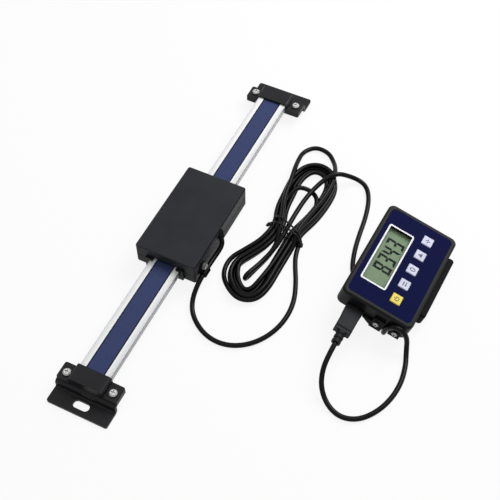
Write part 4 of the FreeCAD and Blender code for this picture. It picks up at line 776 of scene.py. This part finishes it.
class SCALE_OT_wire_tie(bpy.types.Operator):
    """Wrap the wire tie round the hank's waist"""
    bl_idname = "linear_scale.wire_tie"
    bl_label = "Wire tie"

    # Left and right ends of the two wraps, then the section they go round: share of the width, height
    WRAPS = (((46.6, 36.2), (73.4, 24.8)), ((46.2, 29.8), (73.8, 22.8)))
    SECTION = ((0.08, 0.75), (0.3, 0.7), (0.6, 0.7), (0.95, 0.75), (1.0, 2.6), (0.99, 5.6),
               (0.93, 9.0), (0.84, 12.4), (0.68, 13.2), (0.5, 13.3), (0.33, 13.2), (0.2, 11.7),
               (0.07, 8.6), (0.0, 6.0), (0.02, 2.8))
    # Start and aim of each twisted end
    TWISTS = (((73.8, 23.6, 5.0), (0.2, -0.9, -0.35)), ((46.2, 29.4, 5.8), (-0.5, -0.75, -0.4)))
    TWIST_TURNS = 1.5
    TWIST_STEPS = 12
    TWIST_RESOLUTION = 3
    TWIST_LENGTH = 2.4 * MM
    # Distance of a strand from its twist's middle line, as a share of the wire
    TWIST_SPREAD = 0.55

    def wrap(self, left, right):
        """One wrap round the waist, between its left and right ends."""
        start, run = Vector(left) * MM, (Vector(right) - Vector(left)) * MM
        return [Vector((*(start + run * width), height * MM)) for width, height in self.SECTION]

    def twist(self, start, aim, wire, phase):
        """One strand of the twisted end."""
        points = []
        for step in range(self.TWIST_STEPS + 1):
            along = step / self.TWIST_STEPS
            angle = phase + 2 * math.pi * self.TWIST_TURNS * along
            side = aim.cross(UP).normalized()
            spread = side * math.cos(angle) + UP * math.sin(angle)
            points.append(start + aim * self.TWIST_LENGTH * along + spread * wire * self.TWIST_SPREAD)
        return points

    def execute(self, context):
        wire = settings().cable.wire
        first, second = (self.wrap(*ends) for ends in self.WRAPS)
        data = nurbs_curve("wire_tie", first, wire, closed=True)
        add_spline(data, second, closed=True)
        for start, aim in self.TWISTS:
            for phase in (0.0, math.pi):
                strand = self.twist(Vector(start) * MM, Vector(aim).normalized(), wire, phase)
                add_spline(data, strand, resolution=self.TWIST_RESOLUTION)
        material = cable_jacket("tie_coat", settings().finish.bracket)
        piece = add_piece("wire_tie", data, material)
        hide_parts("cable_tie")
        return {"FINISHED"}


class SCALE_OT_display_print(bpy.types.Operator):
    """Print the window's border and the figures of the reading"""
    bl_idname = "linear_scale.display_print"
    bl_label = "Border and figures"

    PANE_LAP = 1.6 * MM
    INK = 0.04 * MM
    BORDER_GAP = 0.05 * MM
    BORDER_RADII = (0.7 * MM, 1.4 * MM)
    # Segments of each figure: a is the head, b to f go on clockwise, and g is the waist
    FIGURES = {"0": "abcdef", "1": "bc", "2": "abged", "3": "abgcd", "4": "fgbc", "5": "afgcd",
               "6": "afgedc", "7": "abc", "8": "abcdefg", "9": "abcdfg"}
    SLANT = 0.02
    WAIST_GAP = 0.1 * MM

    def window(self, face):
        """The window's edges in the face's axes: left, near, right, far."""
        low, high = face.box("window_pane")
        lap = self.PANE_LAP
        return low.x + lap, low.y + lap, high.x - lap, high.y - lap

    def border(self, face, look):
        """Make the printed frame as a band round the window."""
        left, near, right, far = self.window(face)
        width, height = right - left, far - near
        margins = (self.BORDER_GAP, look.border_width)
        inner, outer = (rounded_outline(width + 2 * margin, height + 2 * margin, radius)
                        for margin, radius in zip(margins, self.BORDER_RADII))
        pairs = list(zip(inner, outer))
        band = [[a[0], a[1], b[1], b[0]] for a, b in zip(pairs, pairs[1:] + pairs[:1])]
        middle = Vector(((left + right) / 2, (near + far) / 2))
        data = print_mesh("window_border", band,
                          lambda x, y, n: face.point(middle.x + x, middle.y + y, n), self.INK)
        ink = printed("border_ink", settings().finish.border)
        add_piece("window_border", data, ink)

    def segments(self, look):
        """The seven segments of a figure as outlines, mitred at the corners and parted at the waist."""
        wide, high, line = look.figure_width, look.figure_height, look.figure_line
        middle, half, gap = high / 2, line / 2, self.WAIST_GAP
        head = [(0.0, high), (line, high - line), (wide - line, high - line), (wide, high)]
        upper = [(wide, high), (wide - line, high - line), (wide - line, middle + half + gap),
                 (wide - half, middle + gap), (wide, middle + half + gap)]
        waist = [(half + gap, middle), (line + gap, middle - half), (wide - line - gap, middle - half),
                 (wide - half - gap, middle), (wide - line - gap, middle + half),
                 (line + gap, middle + half)]
        lower = [(x, high - y) for x, y in upper]
        return {"a": head, "b": upper, "c": lower, "d": [(x, high - y) for x, y in head],
                "e": [(wide - x, y) for x, y in lower], "f": [(wide - x, y) for x, y in upper],
                "g": waist}

    def figures(self, face, look):
        """Make the reading from seven-segment figures that read from the near end to the far one."""
        left, near, right, far = self.window(face)
        top = face.box("lcd_panel")[1].z
        segments = self.segments(look)
        bars = []
        for place, figure in enumerate(look.reading):
            shift = look.figure_start + place * look.figure_pitch
            for segment in self.FIGURES[figure]:
                bars.append([Vector((shift + x + self.SLANT * y, y)) for x, y in segments[segment]])
        foot = right - look.figure_base
        data = print_mesh("reading_figures", bars,
                          lambda x, y, n: face.point(foot - y, near + x, top + n), self.INK)
        ink = printed("figure_ink", settings().finish.figure, specular=0.05)
        add_piece("reading_figures", data, ink)

    def execute(self, context):
        face = DisplayFace()
        self.border(face, settings().display)
        self.figures(face, settings().display)
        return {"FINISHED"}


class SCALE_OT_key_signs(bpy.types.Operator):
    """Print a plain sign on each key"""
    bl_idname = "linear_scale.key_signs"
    bl_label = "Key signs"

    INK = 0.03 * MM
    # Sizes in millimetres: width of a line, half the width of a sign
    LINE = 0.62
    REACH = 1.75
    # A thin ring with four marks outside it
    AIM_RADIUS = 0.75
    AIM_LINE = 0.434
    AIM_MARK = 1.1
    # Foot and tip of a triangle
    TRIANGLE = (-1.3, 1.7)
    # A ring that is stretched upwards
    ZERO_RADIUS = 1.15
    ZERO_TALL = 1.5
    # Two arrows: where their shafts lie and end, and how far their heads stand out
    ARROW_NECK = 0.6
    ARROW_BARB = 0.4
    # A ring open at the top, by its angles in degrees, with a stroke in the opening
    POWER_RADIUS = 1.45
    POWER_ARC = (125.0, 415.0)
    POWER_STROKE = (0.2, 2.0)

    def signs(self):
        """Polygons of each sign in millimetres, up and right as read."""
        line, half, reach, mark = self.LINE, self.LINE / 2, self.REACH, self.AIM_MARK
        neck, barb = self.ARROW_NECK, self.ARROW_BARB
        foot, tip = self.TRIANGLE
        low, high = self.POWER_STROKE
        aim = [block(-reach, -half, -mark, half), block(mark, -half, reach, half),
               block(-half, -reach, half, -mark), block(-half, mark, half, reach)]
        aim += arc_band(self.AIM_RADIUS, self.AIM_LINE, 0.0, 360.0)
        triangle = [[Vector((-reach, foot)), Vector((reach, foot)), Vector((0.0, tip))]]
        zero = arc_band(self.ZERO_RADIUS, line, 0.0, 360.0, tall=self.ZERO_TALL)
        head = ((neck, neck - barb), (reach, neck + half), (neck, neck + line + barb))
        arrow = [block(-reach, neck, neck, neck + line), [Vector(corner) for corner in head]]
        arrows = arrow + [[-point for point in polygon] for polygon in arrow]
        power = arc_band(self.POWER_RADIUS, line, *self.POWER_ARC) + [block(-half, low, half, high)]
        return dict(zip(KEYS, (aim, triangle, zero, arrows, power)))

    def execute(self, context):
        face = DisplayFace()
        ink = printed("sign_ink", settings().finish.sign)
        for name, polygons in self.signs().items():
            low, high = face.box(name)
            centre = (low + high) / 2
            small = [[point * MM for point in polygon] for polygon in polygons]
            data = print_mesh(name + "_sign", small,
                              lambda x, y, n: face.point(centre.x - y, centre.y + x, high.z + n), self.INK)
            add_piece(name + "_sign", data, ink, body=name)
        return {"FINISHED"}


class SCALE_OT_stage(bpy.types.Operator):
    """Set up the floor, surrounding light, lamps and camera"""
    bl_idname = "linear_scale.stage"
    bl_label = "Stage"

    CAMERA_PLACE = Vector((0.21965, -0.35753, 0.56331))
    CAMERA_AIM = Vector((0.042053, 0.006163, 0.0))
    SENSOR_WIDTH = 36.0
    FLOOR_SIZE = 14.0
    FLOOR_DROP = 0.2 * MM
    PAPER_GRAIN = 900.0
    PAPER_TONES = (0.92, 0.96)
    KEY_PLACE = Vector((0.33, 0.62, 0.78))
    KEY_SIZE = 0.6
    TOP_PLACE = Vector((0.05, 0.1, 1.3))
    TOP_SIZE = 1.2

    def shown(self, tree):
        """One where a ray comes from the camera, a glossy piece or a clear one, and none elsewhere."""
        path = tree.nodes.new("ShaderNodeLightPath")
        seen = path.outputs["Is Camera Ray"]
        for kind in ("Is Glossy Ray", "Is Transmission Ray"):
            either = tree.nodes.new("ShaderNodeMath")
            either.operation = "MAXIMUM"
            tree.links.new(seen, either.inputs[0])
            tree.links.new(path.outputs[kind], either.inputs[1])
            seen = either.outputs["Value"]
        return seen

    def floor(self, look):
        """A pale floor that shows mostly plain white and keeps the shadow."""
        finish = Finish("floor_paper")
        grain = finish.noise(self.PAPER_GRAIN, detail=2.0)
        dark, light = ((tone, tone, tone, 1.0) for tone in self.PAPER_TONES)
        finish.feed("Base Color", finish.mixed(finish.ranged(grain, 0.0, 1.0), dark, light))
        finish.fix(Roughness=0.9, Specular_IOR_Level=0.0)
        glow = finish.add("ShaderNodeEmission")
        glow.inputs["Strength"].default_value = 1.0
        part = finish.add("ShaderNodeMath", operation="MULTIPLY")
        finish.join(self.shown(finish.tree), part.inputs[0])
        part.inputs[1].default_value = look.backdrop
        blend = finish.add("ShaderNodeMixShader")
        finish.join(part.outputs["Value"], blend.inputs["Fac"])
        finish.join(finish.shader.outputs["BSDF"], blend.inputs[1])
        finish.join(glow.outputs["Emission"], blend.inputs[2])
        finish.join(blend.outputs["Shader"], finish.output.inputs["Surface"])
        half = self.FLOOR_SIZE / 2
        mesh = bpy.data.meshes.new("floor")
        corners = [(-half, -half), (half, -half), (half, half), (-half, half)]
        mesh.from_pydata([(x, y, -self.FLOOR_DROP) for x, y in corners], [], [(0, 1, 2, 3)])
        mesh.materials.append(finish.material)
        floor = bpy.data.objects.new("floor", mesh)
        bpy.context.scene.collection.objects.link(floor)

    def sky(self, look):
        """White where it is seen, soft grey as light."""
        world = bpy.data.worlds.new("soft_studio")
        world.use_nodes = True
        tree = world.node_tree
        tree.nodes.clear()
        blend = tree.nodes.new("ShaderNodeMixShader")
        output = tree.nodes.new("ShaderNodeOutputWorld")
        tree.links.new(self.shown(tree), blend.inputs["Fac"])
        for level, socket in zip((look.sky, 1.0), blend.inputs[1:]):
            ground = tree.nodes.new("ShaderNodeBackground")
            ground.inputs["Color"].default_value = (level, level, level, 1.0)
            tree.links.new(ground.outputs["Background"], socket)
        tree.links.new(blend.outputs["Shader"], output.inputs["Surface"])
        bpy.context.scene.world = world

    def aimed(self, name, data, place):
        """Put a lamp or camera at a place, pointing at the middle of the view."""
        item = bpy.data.objects.new(name, data)
        item.location = place
        item.rotation_euler = (self.CAMERA_AIM - place).to_track_quat("-Z", "Y").to_euler()
        bpy.context.scene.collection.objects.link(item)
        return item

    def lamp(self, name, place, size, watts):
        """A square soft lamp."""
        data = bpy.data.lights.new(name, "AREA")
        data.size = size
        data.energy = watts
        self.aimed(name, data, place)

    def camera(self, look):
        """Camera at the photograph's angle."""
        data = bpy.data.cameras.new("camera")
        data.lens = look.lens
        data.sensor_width = self.SENSOR_WIDTH
        bpy.context.scene.camera = self.aimed("camera", data, self.CAMERA_PLACE)

    def execute(self, context):
        look = settings().stage
        bpy.context.scene.view_settings.view_transform = "Standard"
        self.floor(look)
        self.sky(look)
        self.lamp("key_lamp", self.KEY_PLACE, self.KEY_SIZE, look.key_lamp)
        self.lamp("top_lamp", self.TOP_PLACE, self.TOP_SIZE, look.top_lamp)
        self.camera(look)
        return {"FINISHED"}


OPERATORS = (SCALE_OT_finish_beam, SCALE_OT_finish_reader, SCALE_OT_finish_display,
             SCALE_OT_reader_cable, SCALE_OT_display_cable, SCALE_OT_wire_tie,
             SCALE_OT_display_print, SCALE_OT_key_signs, SCALE_OT_stage)


class SCALE_PT_dressing(bpy.types.Panel):
    """The dressing's steps and settings"""
    bl_idname = "SCALE_PT_dressing"
    bl_label = "Linear scale"
    bl_space_type = "VIEW_3D"
    bl_region_type = "UI"
    bl_category = "Linear scale"

    def draw(self, context):
        column = self.layout.column()
        for operator in OPERATORS:
            column.operator(operator.bl_idname)
        for group in (settings().finish, settings().cable, settings().display, settings().stage):
            for key in group.__annotations__:
                column.prop(group, key)


CLASSES = (FinishSettings, CableSettings, DisplaySettings, StageSettings, ScaleSettings, *OPERATORS,
           SCALE_PT_dressing)


def register():
    """Register the classes and hang the settings on the scene."""
    for entry in CLASSES:
        bpy.utils.register_class(entry)
    bpy.types.Scene.linear_scale = PointerProperty(type=ScaleSettings)


def unregister():
    """Take the settings and the classes out again."""
    del bpy.types.Scene.linear_scale
    for entry in reversed(CLASSES):
        bpy.utils.unregister_class(entry)


def main():
    """Dress the part step by step."""
    register()
    for operator in OPERATORS:
        group, step = operator.bl_idname.split(".")
        getattr(getattr(bpy.ops, group), step)()


if __name__ == "__main__":
    main()
